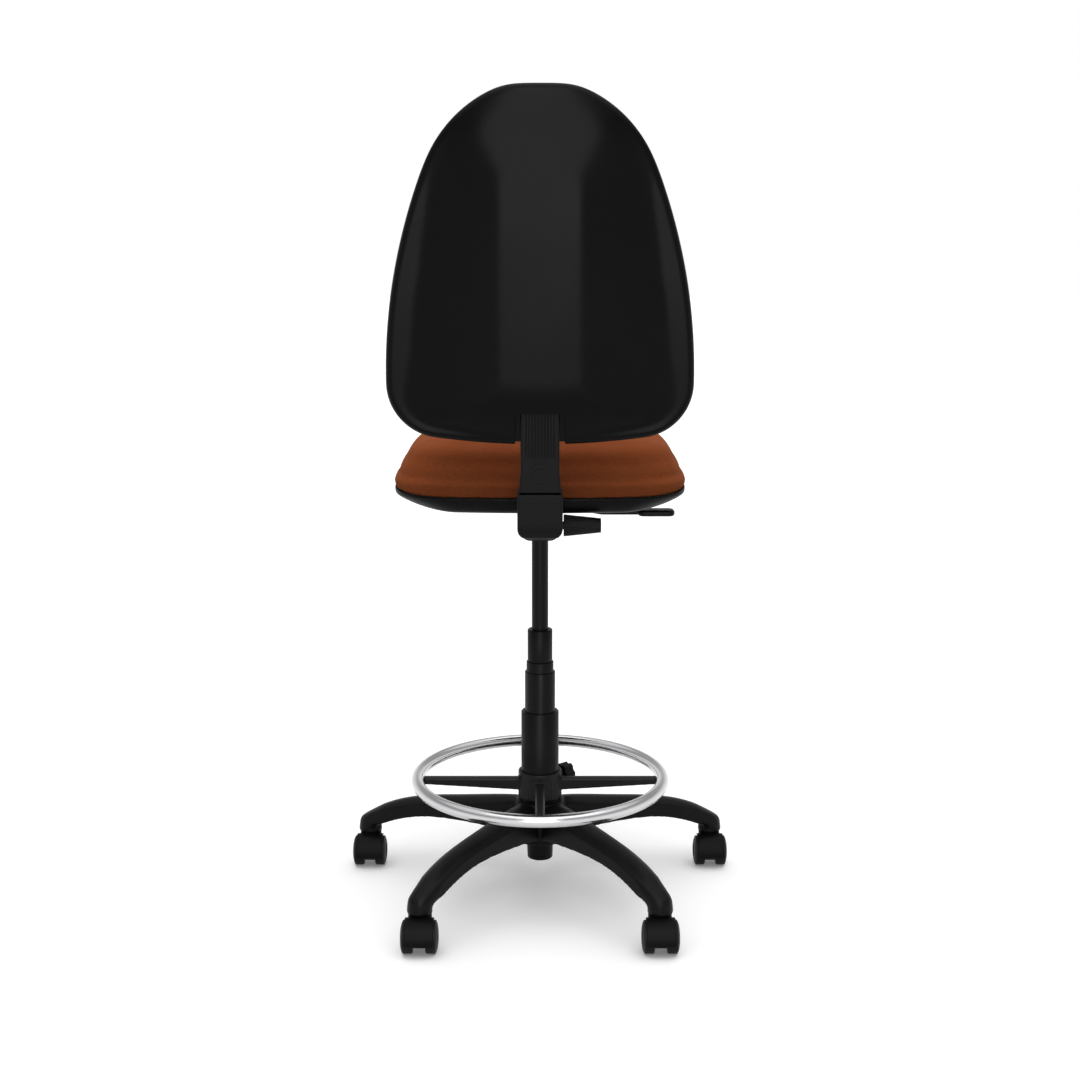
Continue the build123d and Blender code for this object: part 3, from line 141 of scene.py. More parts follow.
def shade_grooves(mat, pitch, half_width, foot):
    """Darken the fine upright grooves of the stem's cover, which get little light."""
    tree = mat.node_tree
    shader = tree.nodes["Principled BSDF"]
    add = adder(tree)
    place = add("ShaderNodeSeparateXYZ", [("Vector", add("ShaderNodeTexCoord").outputs["Object"])])
    wave = calc(add, "COSINE", calc(add, "MULTIPLY", place.outputs["X"], 2 * math.pi / pitch))
    groove = spread(add, wave, 0.0, -0.7, 0.0, 0.85)
    across = calc(add, "ABSOLUTE", place.outputs["X"])
    inner = spread(add, across, half_width + 0.5 * MM, half_width - 0.5 * MM, 0.0, 1.0)
    upper = spread(add, place.outputs["Z"], foot - 3 * MM, foot + 3 * MM, 0.0, 1.0)
    mask = calc(add, "MULTIPLY", calc(add, "MULTIPLY", groove, inner), upper)
    colour = shader.inputs["Base Color"].links[0].from_socket
    mix = add("ShaderNodeMix", data_type="RGBA")
    tree.links.new(mask, mix.inputs["Factor"])
    tree.links.new(colour, mix.inputs[6])
    mix.inputs[7].default_value = (0.0015, 0.0015, 0.0016, 1)
    tree.links.new(mix.outputs[2], shader.inputs["Base Color"])
    old = shader.inputs["Normal"].links[0].from_node
    relief = [("Height", mask), ("Normal", old.outputs["Normal"])]
    bump = add("ShaderNodeBump", relief, Strength=1.0, Distance=0.0012, invert=True)
    tree.links.new(bump.outputs["Normal"], shader.inputs["Normal"])


def coated_steel(name, colour, rough, specular):
    """Black powder-coated steel with a faint orange peel."""
    mat, tree, shader, add = new_material(name)
    place = add("ShaderNodeTexCoord").outputs["Object"]
    peel = add("ShaderNodeTexNoise", [("Vector", place)], Scale=420.0, Detail=3.0, Roughness=0.55)
    patch = add("ShaderNodeTexNoise", [("Vector", place)], Scale=14.0, Detail=5.0)
    tint = add("ShaderNodeValToRGB", [("Fac", patch.outputs["Fac"])])
    ramp(tint, [(0.3, scaled(colour, 0.85)), (0.75, scaled(colour, 1.2))])
    tree.links.new(tint.outputs["Color"], shader.inputs["Base Color"])
    tree.links.new(spread(add, patch.outputs["Fac"], 0.3, 0.7, *rough), shader.inputs["Roughness"])
    bump = add("ShaderNodeBump", [("Height", peel.outputs["Fac"])], Strength=0.35, Distance=0.00005)
    tree.links.new(bump.outputs["Normal"], shader.inputs["Normal"])
    shader.inputs["Specular IOR Level"].default_value = specular
    return mat


def bare_metal(name, colour, rough, scratch=260.0):
    """Polished or brushed metal with fine wiping marks."""
    mat, tree, shader, add = new_material(name)
    place = add("ShaderNodeTexCoord").outputs["Object"]
    marks = add("ShaderNodeTexNoise", [("Vector", place)], Scale=scratch, Detail=6.0, Roughness=0.7)
    haze = add("ShaderNodeTexNoise", [("Vector", place)], Scale=11.0, Detail=3.0)
    both = calc(add, "MULTIPLY", marks.outputs["Fac"], haze.outputs["Fac"])
    tree.links.new(spread(add, both, 0.12, 0.42, *rough), shader.inputs["Roughness"])
    tint = add("ShaderNodeValToRGB", [("Fac", haze.outputs["Fac"])])
    ramp(tint, [(0.3, scaled(colour, 0.93)), (0.7, colour)])
    tree.links.new(tint.outputs["Color"], shader.inputs["Base Color"])
    shader.inputs["Metallic"].default_value = 1.0
    return mat


def rubber_tread(name, colour):
    """Dull black tyre with rolling scuffs and a little dust."""
    mat, tree, shader, add = new_material(name)
    place = add("ShaderNodeTexCoord").outputs["Object"]
    scuff = add("ShaderNodeTexNoise", [("Vector", place)], Scale=180.0, Detail=5.0, Roughness=0.7)
    dust = add("ShaderNodeTexNoise", [("Vector", place)], Scale=35.0, Detail=4.0)
    tint = add("ShaderNodeValToRGB", [("Fac", dust.outputs["Fac"])])
    ramp(tint, [(0.35, colour), (0.8, scaled(colour, 1.7))])
    tree.links.new(tint.outputs["Color"], shader.inputs["Base Color"])
    tree.links.new(spread(add, scuff.outputs["Fac"], 0.3, 0.7, 0.5, 0.75), shader.inputs["Roughness"])
    bump = add("ShaderNodeBump", [("Height", scuff.outputs["Fac"])], Strength=0.4, Distance=0.00006)
    tree.links.new(bump.outputs["Normal"], shader.inputs["Normal"])
    shader.inputs["Specular IOR Level"].default_value = 0.2
    return mat


def plywood(name, pale, dark, normal):
    """Plywood: plies along the given direction, with face grain."""
    mat, tree, shader, add = new_material(name)
    place = add("ShaderNodeTexCoord").outputs["Object"]
    along = add("ShaderNodeVectorMath", [(0, place)], operation="DOT_PRODUCT")
    along.inputs[1].default_value = normal
    ply = calc(add, "SINE", calc(add, "MULTIPLY", along.outputs["Value"], 2 * math.pi / (3.6 * MM)))
    drawn = add("ShaderNodeMapping", [("Vector", place)])
    drawn.inputs["Scale"].default_value = (14, 220, 220)
    grain = add("ShaderNodeTexNoise", [("Vector", drawn.outputs[0])], Scale=1.0, Detail=5.0, Roughness=0.65)
    tone = calc(add, "ADD", calc(add, "MULTIPLY", ply, 0.18), grain.outputs["Fac"])
    tint = add("ShaderNodeValToRGB", [("Fac", tone)])
    ramp(tint, [(0.3, dark), (0.7, pale)])
    tree.links.new(tint.outputs["Color"], shader.inputs["Base Color"])
    bump = add("ShaderNodeBump", [("Height", grain.outputs["Fac"])], Strength=0.3, Distance=0.0001)
    tree.links.new(bump.outputs["Normal"], shader.inputs["Normal"])
    shader.inputs["Roughness"].default_value = 0.72
    shader.inputs["Specular IOR Level"].default_value = 0.25
    return mat


def woven_fabric(name, colour, pitch=1.3 * MM):
    """Plain-weave upholstery: crossing threads, slubs, faint fading and a soft sheen."""
    mat, tree, shader, add = new_material(name)
    coords = add("ShaderNodeTexCoord")
    place = coords.outputs["Object"]
    step = add("ShaderNodeSeparateXYZ", [("Vector", place)])
    face = add("ShaderNodeSeparateXYZ", [("Vector", coords.outputs["Normal"])])
    waves = [calc(add, "SINE", calc(add, "MULTIPLY", step.outputs[i], math.pi / pitch)) for i in range(3)]
    sides = [calc(add, "ABSOLUTE", face.outputs[i]) for i in range(3)]
    weave = None
    for i in range(3):
        cross = calc(add, "MULTIPLY", waves[(i + 1) % 3], waves[(i + 2) % 3])
        part = calc(add, "MULTIPLY", cross, sides[i])
        weave = part if weave is None else calc(add, "ADD", weave, part)
    fibre = add("ShaderNodeTexNoise", [("Vector", place)], Scale=1500.0, Detail=3.0, Roughness=0.7)
    slub = add("ShaderNodeTexNoise", [("Vector", place)], Scale=260.0, Detail=4.0, Roughness=0.6)
    fade = add("ShaderNodeTexNoise", [("Vector", place)], Scale=7.0, Detail=3.0)
    tone = calc(add, "MULTIPLY", weave, 0.1)
    tone = calc(add, "ADD", tone, calc(add, "MULTIPLY", fibre.outputs["Fac"], 0.3))
    tone = calc(add, "ADD", tone, calc(add, "MULTIPLY", slub.outputs["Fac"], 0.45))
    tone = calc(add, "ADD", tone, calc(add, "MULTIPLY", fade.outputs["Fac"], 0.25))
    tint = add("ShaderNodeValToRGB", [("Fac", tone)])
    ramp(tint, [(0.3, scaled(colour, 0.72)), (0.5, colour), (0.72, scaled(colour, 1.3))])
    tree.links.new(tint.outputs["Color"], shader.inputs["Base Color"])
    height = calc(add, "ADD", weave, calc(add, "MULTIPLY", fibre.outputs["Fac"], 0.8))
    bump = add("ShaderNodeBump", [("Height", height)], Strength=0.45, Distance=0.0002)
    tree.links.new(bump.outputs["Normal"], shader.inputs["Normal"])
    tree.links.new(spread(add, slub.outputs["Fac"], 0.3, 0.7, 0.82, 0.95), shader.inputs["Roughness"])
    shader.inputs["Specular IOR Level"].default_value = 0.08
    shader.inputs["Sheen Weight"].default_value = 0.03
    shader.inputs["Sheen Roughness"].default_value = 0.5
    shader.inputs["Sheen Tint"].default_value = (0.75, 0.42, 0.25, 1)
    return mat


nylon = moulded_plastic("black_nylon", (0.0058, 0.0058, 0.0061), (0.36, 0.46), 0.10)
shell_black = moulded_plastic("shell_black", (0.0036, 0.0036, 0.0038), (0.3, 0.36), 0.066, grain=0.0014)
cover_black = moulded_plastic("cover_black", (0.0056, 0.0056, 0.0059), (0.38, 0.48), 0.095)
# A paler copy of the cover's plastic for the ribbed stem cover: painted light on its ridges, with painted
# shade in its grooves added by shade_grooves.
cover_ribs_light_and_shade = moulded_plastic("cover_ribs_light_and_shade", (0.0068, 0.0068, 0.0071), (0.38, 0.48), 0.09)
# A darker copy of the black plastic for the seat pan: painted shade, to take back the white floor's light that
# its downward sides reflect.
pan_black_painted_shade = moulded_plastic("pan_black_painted_shade", (0.0042, 0.0042, 0.0044), (0.4, 0.5), 0.06)
# A paler copy of the black nylon for the foot ring's hub and spokes: painted light, to make up for the shade
# the seat casts on them.
ring_nylon_painted_light = moulded_plastic("ring_nylon_painted_light", (0.0110, 0.0110, 0.0115), (0.36, 0.46), 0.16)
hood_black = moulded_plastic("hood_black", (0.0046, 0.0046, 0.0049), (0.38, 0.48), 0.07)
hub_plastic = moulded_plastic("wheel_plastic", (0.0060, 0.0060, 0.0064), (0.38, 0.5), 0.115, grain=0.0008)
steel_black = coated_steel("black_steel", (0.0053, 0.0053, 0.0057), (0.3, 0.42), 0.105)
chrome = bare_metal("chrome", (0.60, 0.60, 0.61), (0.15, 0.26))
steel = bare_metal("steel", (0.42, 0.42, 0.43), (0.25, 0.4))
tyre = rubber_tread("tyre", (0.0095, 0.0095, 0.0100))
birch = plywood("plywood", (0.50, 0.35, 0.21), (0.33, 0.21, 0.12), (0, 0, 1))
# Plywood darkened almost to black: painted shade for the back board, which shows in the shaded gaps beside the
# stem.
board_painted_shade = plywood("plywood_painted_shade", (0.012, 0.011, 0.010), (0.006, 0.006, 0.006), (0, 0.995, -0.105))
shade_grooves(cover_ribs_light_and_shade, 4.4 * MM, 23 * MM, 751 * MM)
fabric = woven_fabric("orange_fabric", (0.275, 0.0675, 0.0185))
# Black fabric for the back pad's rear: a lining where it lies on the board, and painted shade behind the stem.
lining_and_shade = woven_fabric("black_lining_and_shade", (0.008, 0.008, 0.0085), 0.8 * MM)


# Making of pieces

def new_piece(name, points, faces, material, body, smooth=40):
    """A mesh piece that rides on a body."""
    mesh = bpy.data.meshes.new(name)
    mesh.from_pydata([tuple(p) for p in points], [], faces)
    mesh.validate()
    obj = bpy.data.objects.new(name, mesh)
    scene.collection.objects.link(obj)
    dress(obj, material, smooth)
    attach(obj, body)
    return obj


def dress(obj, material, smooth=40):
    """Give a mesh its material and smooth shading up to an angle."""
    obj.data.materials.clear()
    obj.data.materials.append(material)
    obj.data.polygons.foreach_set("use_smooth", [True] * len(obj.data.polygons))
    if smooth:
        obj.data.set_sharp_from_angle(angle=math.radians(smooth))


def bake_modifiers(obj):
    """Replace the mesh by what its modifiers make of it."""
    bpy.context.view_layer.update()
    done = obj.evaluated_get(bpy.context.evaluated_depsgraph_get())
    mesh = bpy.data.meshes.new_from_object(done)
    old = obj.data
    obj.modifiers.clear()
    obj.data = mesh
    bpy.data.meshes.remove(old)


def coordinates(mesh):
    """Places of the mesh's points, one row each."""
    flat = np.empty(3 * len(mesh.vertices))
    mesh.vertices.foreach_get("co", flat)
    return flat.reshape(-1, 3)


def put_coordinates(mesh, points):
    """Move the mesh's points."""
    mesh.vertices.foreach_set("co", np.ascontiguousarray(points, dtype=np.float64).ravel())
    mesh.update()


def remesh(obj, voxel, rounds, share=0.5):
    """Voxel remesh and smooth a piece in place."""
    grid = obj.modifiers.new("grid", "REMESH")
    grid.mode = "VOXEL"
    grid.voxel_size = voxel
    if rounds:
        soft = obj.modifiers.new("soft", "SMOOTH")
        soft.iterations = rounds
        soft.factor = share
    bake_modifiers(obj)


def even_out(mesh, values, share, rounds):
    """Draw each point's values towards those of its neighbours, by its share."""
    edges = np.empty(2 * len(mesh.edges), np.int64)
    mesh.edges.foreach_get("vertices", edges)
    edges = edges.reshape(-1, 2)
    edges = edges[(share[edges] > 0).any(1)]
    links = np.bincount(edges.ravel(), minlength=len(values)).astype(float)[:, None]
    for _ in range(rounds):
        total = np.stack([
            np.bincount(edges[:, 0], values[edges[:, 1], i], len(values))
            + np.bincount(edges[:, 1], values[edges[:, 0], i], len(values)) for i in range(3)
        ], 1)
        mean = total / np.maximum(links, 1)
        values = values + share[:, None] * np.where(links > 2, mean - values, 0)
    return values


def moulded_copy(node, name, material, body, voxel, rounds):
    """A CAD node with the rounded edges that a moulding has."""
    mesh = nodes[node].data.copy()
    mesh.name = name
    obj = bpy.data.objects.new(name, mesh)
    scene.collection.objects.link(obj)
    form = bmesh.new()
    form.from_mesh(mesh)
    bmesh.ops.remove_doubles(form, verts=form.verts, dist=0.00001)
    form.to_mesh(mesh)
    form.free()
    remesh(obj, voxel, rounds)
    dress(obj, material, 0)
    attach(obj, body)
    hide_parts(node)
    return obj


def rounded(corners, radius, steps=4):
    """A closed outline with its corners rounded."""
    corners = [np.array(c, float) for c in corners]
    line = []
    for i, here in enumerate(corners):
        back, ahead = corners[i - 1] - here, corners[(i + 1) % len(corners)] - here
        reach = min(radius, 0.45 * np.linalg.norm(back), 0.45 * np.linalg.norm(ahead))
        start = here + back / np.linalg.norm(back) * reach
        end = here + ahead / np.linalg.norm(ahead) * reach
        for k in range(steps + 1):
            t = k / steps
            line.append((1 - t) ** 2 * start + 2 * t * (1 - t) * here + t**2 * end)
    return line


# Outlines of seat and back in mm, as arcs that share their centres at every inset

# The back's height, the radius of its lower edge, the place (y, z) of that edge's middle, and its lean
BACK_H = 493.0
BACK_FOOT_R = 1100.0
BACK_FOOT = (240.0, 772.0)
RAKE = math.radians(6)


def blend_step(low, high, value):
    """Smooth step from 0 at low to 1 at high."""
    t = np.clip((value - low) / (high - low), 0, 1)
    return t * t * (3 - 2 * t)


def bell(places, width):
    """Weights of a blur, adding up to 1."""
    weights = np.exp(-0.5 * (places / width) ** 2)
    return weights / weights.sum()


def arc_line(arcs, count):
    """Points and outward directions, evenly spaced along arcs of (centre, radius, start, end)."""
    points, ways = [], []
    for (cx, cy), radius, start, end in arcs:
        turn = np.radians(np.linspace(start, end, 400))
        way = np.stack([np.cos(turn), np.sin(turn)], 1)
        points.append(np.array([cx, cy]) + radius * way)
        ways.append(way)
    points, ways = np.concatenate(points), np.concatenate(ways)
    run = np.concatenate([[0], np.cumsum(np.linalg.norm(np.diff(points, axis=0), axis=1))])
    places = np.linspace(0, run[-1], count)
    even = np.stack([np.interp(places, run, points[:, i]) for i in range(2)], 1)
    facing = np.stack([np.interp(places, run, ways[:, i]) for i in range(2)], 1)
    return even, facing / np.linalg.norm(facing, axis=1, keepdims=True)


def both_sides(half, facing):
    """The closed line made of a right half and its mirror image."""
    mirror = np.array([-1, 1])
    return (np.concatenate([half, (half * mirror)[-2:0:-1]]),
            np.concatenate([facing, (facing * mirror)[-2:0:-1]]))


def meet(c1, r1, c2, r2):
    """Rightmost point at given distances from two centres."""
    c1, c2 = np.array(c1, float), np.array(c2, float)
    span = np.linalg.norm(c2 - c1)
    way = (c2 - c1) / span
    along = (r1**2 - r2**2 + span**2) / (2 * span)
    off = math.sqrt(r1**2 - along**2)
    turn = np.array([-way[1], way[0]])
    return max((c1 + way * along + turn * s * off for s in (1, -1)), key=lambda p: p[0])


def heading(centre, point):
    """Direction of a point from a centre, in degrees."""
    return math.degrees(math.atan2(point[1] - centre[1], point[0] - centre[0]))


def seat_half(count):
    """Right half of the seat's plan, from the front to the rear."""
    half_width, rear_end, front_end = 229.0, 195.0, -235.0
    side_r, rear_r, fore_r, rear_corner_r, front_corner_r = 1500.0, 900.0, 1100.0, 105.0, 82.0
    side, rear, fore = (half_width - side_r, -10.0), (0.0, rear_end - rear_r), (0.0, front_end + fore_r)
    rear_corner = meet(rear, rear_r - rear_corner_r, side, side_r - rear_corner_r)
    front_corner = meet(fore, fore_r - front_corner_r, side, side_r - front_corner_r)
    fore_end, side_start = heading(fore, front_corner), heading(side, front_corner)
    side_end, rear_start = heading(side, rear_corner), heading(rear, rear_corner)
    return arc_line([
        (fore, fore_r, -90.0, fore_end),
        (front_corner, front_corner_r, fore_end, side_start),
        (side, side_r, side_start, side_end),
        (rear_corner, rear_corner_r, side_end, rear_start),
        (rear, rear_r, rear_start, 90.0),
    ], count)


def back_half(count):
    """Right half of the back's outline, from its foot to its top."""
    half_width, corner_r, side_r, shoulder_r, top_r, top_turn = 216.8, 76.0, 800.0, 180.0, 40.0, 70.0
    corner_x = half_width - corner_r
    turn = math.degrees(math.asin(corner_x / (BACK_FOOT_R - corner_r)))
    corner_v = BACK_FOOT_R - (BACK_FOOT_R - corner_r) * math.cos(math.radians(turn))
    tip = np.array([math.cos(math.radians(top_turn)), math.sin(math.radians(top_turn))])
    rise = (shoulder_r - top_r) * tip[1] + top_r
    side_turn = math.degrees(math.asin((BACK_H - corner_v - rise) / (side_r - shoulder_r)))
    side = np.array([half_width - side_r, corner_v])
    lean = math.radians(side_turn)
    shoulder = side + np.array([math.cos(lean), math.sin(lean)]) * (side_r - shoulder_r)
    top = shoulder + tip * (shoulder_r - top_r)
    far = 1.0e6
    flat = math.degrees(top[0] / far)
    return arc_line([
        ((0, BACK_FOOT_R), BACK_FOOT_R, -90.0, turn - 90.0),
        ((corner_x, corner_v), corner_r, turn - 90.0, 0.0),
        (side, side_r, 0.0, side_turn),
        (shoulder, shoulder_r, side_turn, top_turn),
        (top, top_r, top_turn, 90.0),
        ((0, BACK_H - far), far, 90.0 - flat, 90.0),
    ], count)


def back_line(count):
    """The back's whole outline, with the jumps in its curve eased near the top."""
    line, _ = both_sides(*back_half(1500))
    reach, width = 90, 16.0
    step = np.linalg.norm(np.diff(line, axis=0), axis=1).mean()
    kernel = bell(np.arange(-reach, reach + 1) * step, width)
    padded = np.concatenate([line[-reach:], line, line[:reach]])
    soft = np.stack([np.convolve(padded[:, i], kernel, mode="valid") for i in range(2)], 1)
    share = blend_step(200.0, 300.0, line[:, 1])[:, None]
    line = line * (1 - share) + soft * share
    run = np.linspace(0, len(line), count, endpoint=False)
    places = np.arange(len(line) + 1)
    even = np.stack([np.interp(run, places, np.append(line[:, i], line[0, i])) for i in range(2)], 1)
    along = np.roll(even, -1, 0) - np.roll(even, 1, 0)
    facing = np.stack([along[:, 1], -along[:, 0]], 1)
    return even, facing / np.linalg.norm(facing, axis=1, keepdims=True)


def on_back(x, v, n):
    """Place of a point of the back: across, up the back and behind its rim plane, in mm."""
    y = BACK_FOOT[0] + v * math.sin(RAKE) + n * math.cos(RAKE)
    z = BACK_FOOT[1] + v * math.cos(RAKE) - n * math.sin(RAKE)
    return np.stack([x, y, z], -1) * MM


def from_back(points):
    """The other way: across, up and behind, in mm."""
    y, z = points[:, 1] / MM - BACK_FOOT[0], points[:, 2] / MM - BACK_FOOT[1]
    up = y * math.sin(RAKE) + z * math.cos(RAKE)
    behind = y * math.cos(RAKE) - z * math.sin(RAKE)
    return np.stack([points[:, 0] / MM, up, behind], 1)


def edge_distance(points, line):
    """Distance of each point from a closed line."""
    dense = np.concatenate([line, line[:1]])
    best = np.full(len(points), 1e9)
    batch = 4000
    for start in range(0, len(points), batch):
        part = points[start:start + batch]
        a, b = dense[:-1], dense[1:]
        ab = b - a
        t = np.clip(((part[:, None] - a) * ab).sum(2) / (ab**2).sum(1), 0, 1)
        near = a + t[..., None] * ab
        best[start:start + batch] = np.linalg.norm(part[:, None] - near, axis=2).min(1)
    return best


def loft_faces(around, rings, closed=True):
    """Faces of stacked rings, with the two ends filled by one face each where closed."""
    faces = []
    for r in range(rings - 1):
        for k in range(around):
            a, b = r * around + k, r * around + (k + 1) % around
            faces.append((a, b, b + around, a + around))
    if closed:
        faces.append(tuple(range(around))[::-1])
        faces.append(tuple((rings - 1) * around + k for k in range(around)))
    return faces


# Rear shell of the back

def soften(grid, width):
    """A height map blurred along both axes."""
    reach = int(2.5 * width)
    kernel = bell(np.arange(-reach, reach + 1), width)
    for axis in (0, 1):
        padded = np.pad(grid, [(reach, reach) if axis == i else (0, 0) for i in range(2)], mode="edge")
        grid = np.apply_along_axis(lambda row: np.convolve(row, kernel, mode="valid"), axis, padded)
    return grid


def shell_heights():
    """Height map of the shell's rear, on a 1 mm grid, with softened creases.

    A raised band runs up the middle, flares into the domed top and falls to a flange at the sides and foot.
    The flange is dished, so that its strip beside the rim and its lip at the foot catch the light.
    """
    side_flange, top_thinning, band_height, band_fall = 8.0, 4.5, 34.0, 27.0
    band_half, flare_start, flare, foot_run = 57.0, 378.0, 0.75, 84.0
    half, _ = back_half(1200)
    xs, vs = np.arange(-230.0, 231.0), np.arange(-12.0, 506.0)
    x, v = np.meshgrid(np.abs(xs), vs)
    widest = int(np.argmax(half[:, 0]))
    reach = np.interp(v, half[:, 1], half[:, 0])
    foot = np.interp(x, half[:widest, 0], half[:widest, 1])
    strip = np.interp(v, [0, 60, 130, 250, 317, 351, 395], [20, 22, 33, 33, 25, 19, 8])
    flange = side_flange - top_thinning * blend_step(330.0, 480.0, v) - 0.05 * np.clip(reach - x, 0, strip)
    band_reach = band_half + flare * np.maximum(v - flare_start, 0)
    run = np.maximum(reach - strip - band_reach, 14.0)
    side = np.clip((reach - x - strip) / run, 0, 1)
    rim = np.interp(x, [30, 60, 165, 217], [5, 9, 20, 24])
    low = np.clip((v - foot - rim) / foot_run, 0, 1)
    low = 1 - (1 - low) ** 2
    fall = np.clip((v - 300.0) / (BACK_H - 300.0), 0, 1.1) ** 2.2
    band = np.maximum(band_height - band_fall * fall, flange)
    height = flange + (band - flange) * np.minimum(side, low)
    height += 0.14 * np.clip(rim - (v - foot), 0, rim) * blend_step(205.0, 170.0, x)
    sharp, soft = soften(height, 5.0), soften(height, 14.0)
    return xs, vs, sharp + (soft - sharp) * blend_step(330.0, 410.0, v)


def sample(xs, vs, grid, x, v):
    """Bilinear reading of a height map."""
    i = np.clip((x - xs[0]), 0, len(xs) - 1.001)
    j = np.clip((v - vs[0]), 0, len(vs) - 1.001)
    i0, j0 = i.astype(int), j.astype(int)
    fi, fj = i - i0, j - j0
    low = grid[j0, i0] * (1 - fi) + grid[j0, i0 + 1] * fi
    high = grid[j0 + 1, i0] * (1 - fi) + grid[j0 + 1, i0 + 1] * fi
    return low * (1 - fj) + high * fj


def back_shell():
    """The rear shell: a wall over the height map, with a rolled rim and the notch for the stem."""
    around, edge = 360, 7.4
    line, facing = back_line(around)
    insets = [0.0, 0.25, 0.8, 1.7, 2.9, 4.3, 5.8, edge]
    middle = np.array([0.0, 225.0])
    rings = [line - d * facing for d in insets]
    inner = rings[-1]
    rings += [inner + (middle - inner) * s for s in np.linspace(0, 1, 78)[1:-1]]
    flat = np.concatenate(rings + [middle[None]])
    heights = sample(*shell_heights(), flat[:, 0], flat[:, 1])
    depth = np.full(len(flat), edge)
    for k, d in enumerate(insets):
        depth[k * around:(k + 1) * around] = d
    rise = np.sqrt(np.clip(1 - (1 - depth / edge) ** 2, 0, 1))
    points = on_back(flat[:, 0], flat[:, 1], heights * rise)
    faces = loft_faces(around, len(rings), False)
    last = (len(rings) - 1) * around
    faces += [(last + k, last + (k + 1) % around, len(flat) - 1) for k in range(around)]
    obj = new_piece("back_cover", points, faces, shell_black, "back", 0)
    wall = obj.modifiers.new("wall", "SOLIDIFY")
    wall.thickness = 3.0 * MM
    wall.offset = -1
    bake_modifiers(obj)
    half, foot, top = 36, -8, 47
    cut_line = rounded([(-half, foot), (half, foot), (half, top), (-half, top)], 3.0)
    low, high = ([on_back(*np.array([x, v, n])) for x, v in cut_line] for n in (-3.0, 60.0))
    mesh = bpy.data.meshes.new("cutter")
    mesh.from_pydata([tuple(p) for p in low + high], [], loft_faces(len(low), 2))
    cutter = bpy.data.objects.new("cutter", mesh)
    scene.collection.objects.link(cutter)
    form = bmesh.new()
    form.from_mesh(mesh)
    bmesh.ops.recalc_face_normals(form, faces=form.faces)
    form.to_mesh(mesh)
    form.free()
    cut = obj.modifiers.new("notch", "BOOLEAN")
    cut.operation = "DIFFERENCE"
    cut.solver = "EXACT"
    cut.object = cutter
    bake_modifiers(obj)
    bpy.data.objects.remove(cutter)
    bpy.data.meshes.remove(mesh)
    dress(obj, shell_black, 38)
    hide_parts("back_shell")


def shell_tab():
    """The plate that closes the shell behind its notch."""
    count, half_width, top = 47, 46.0, 58.0
    across = np.linspace(-half_width, half_width, count)
    foot = BACK_FOOT_R - np.sqrt(BACK_FOOT_R**2 - across**2) + 0.6
    rows = [foot, foot + 1.2, foot + 20.0, np.full(count, top)]
    points, faces = [], []
    for n in (1.2, -0.6):
        for row in rows:
            points += list(on_back(across, row, np.full(count, n)))
    side = len(rows) * count
    for r in range(len(rows) - 1):
        for k in range(count - 1):
            a = r * count + k
            faces.append((a, a + 1, a + count + 1, a + count))
            faces.append((side + a, side + a + count, side + a + count + 1, side + a + 1))
    rim = list(range(count)) + [r * count + count - 1 for r in range(1, len(rows))]
    rim += [(len(rows) - 1) * count + k for k in range(count - 2, -1, -1)]
    rim += [r * count for r in range(len(rows) - 2, 0, -1)]
    for k, a in enumerate(rim):
        b = rim[(k + 1) % len(rim)]
        faces.append((b, a, side + a, side + b))
    new_piece("shell_tab", points, faces, shell_black, "back", 30)


# Upholstery

PAD_VOXEL = 4.5 * MM
PAD_PRESSURE = 4.0
PAD_CAP = 5.0 * MM
CLOTH_FRAMES = 20
EVENING_ROUNDS = 24


def inflate(obj, held):
    """Swell a pad as cloth, holding the points where held is 1, cap how far a point moves, and even it out."""
    mesh = obj.data
    start = coordinates(mesh)
    group = obj.vertex_groups.new(name="held")
    for weight in np.unique(np.round(held, 1)):
        chosen = np.nonzero(np.round(held, 1) == weight)[0]
        if weight > 0:
            group.add([int(i) for i in chosen], float(weight), "REPLACE")
    cloth = obj.modifiers.new("cloth", "CLOTH")
    cloth.settings.quality = 6
    cloth.settings.use_pressure = True
    cloth.settings.uniform_pressure_force = PAD_PRESSURE
    cloth.settings.effector_weights.gravity = 0
    cloth.settings.vertex_group_mass = "held"
    cloth.point_cache.frame_start = 1
    cloth.point_cache.frame_end = CLOTH_FRAMES
    for number in range(1, CLOTH_FRAMES + 1):
        scene.frame_set(number)
    done = obj.evaluated_get(bpy.context.evaluated_depsgraph_get())
    moved = coordinates(done.data) - start
    obj.modifiers.clear()
    obj.vertex_groups.clear()
    scene.frame_set(1)
    length = np.linalg.norm(moved, axis=1, keepdims=True)
    capped = PAD_CAP * np.tanh(length / PAD_CAP) / np.maximum(length, 1e-9)
    moved *= np.where(length > 1e-9, capped, 1.0)
    put_coordinates(mesh, start + even_out(mesh, moved, np.full(len(moved), 0.5), EVENING_ROUNDS))


def finish_pad(obj):
    dress(obj, fabric, 0)
    soft = obj.modifiers.new("soft", "SUBSURF")
    soft.levels = 1
    soft.render_levels = 1


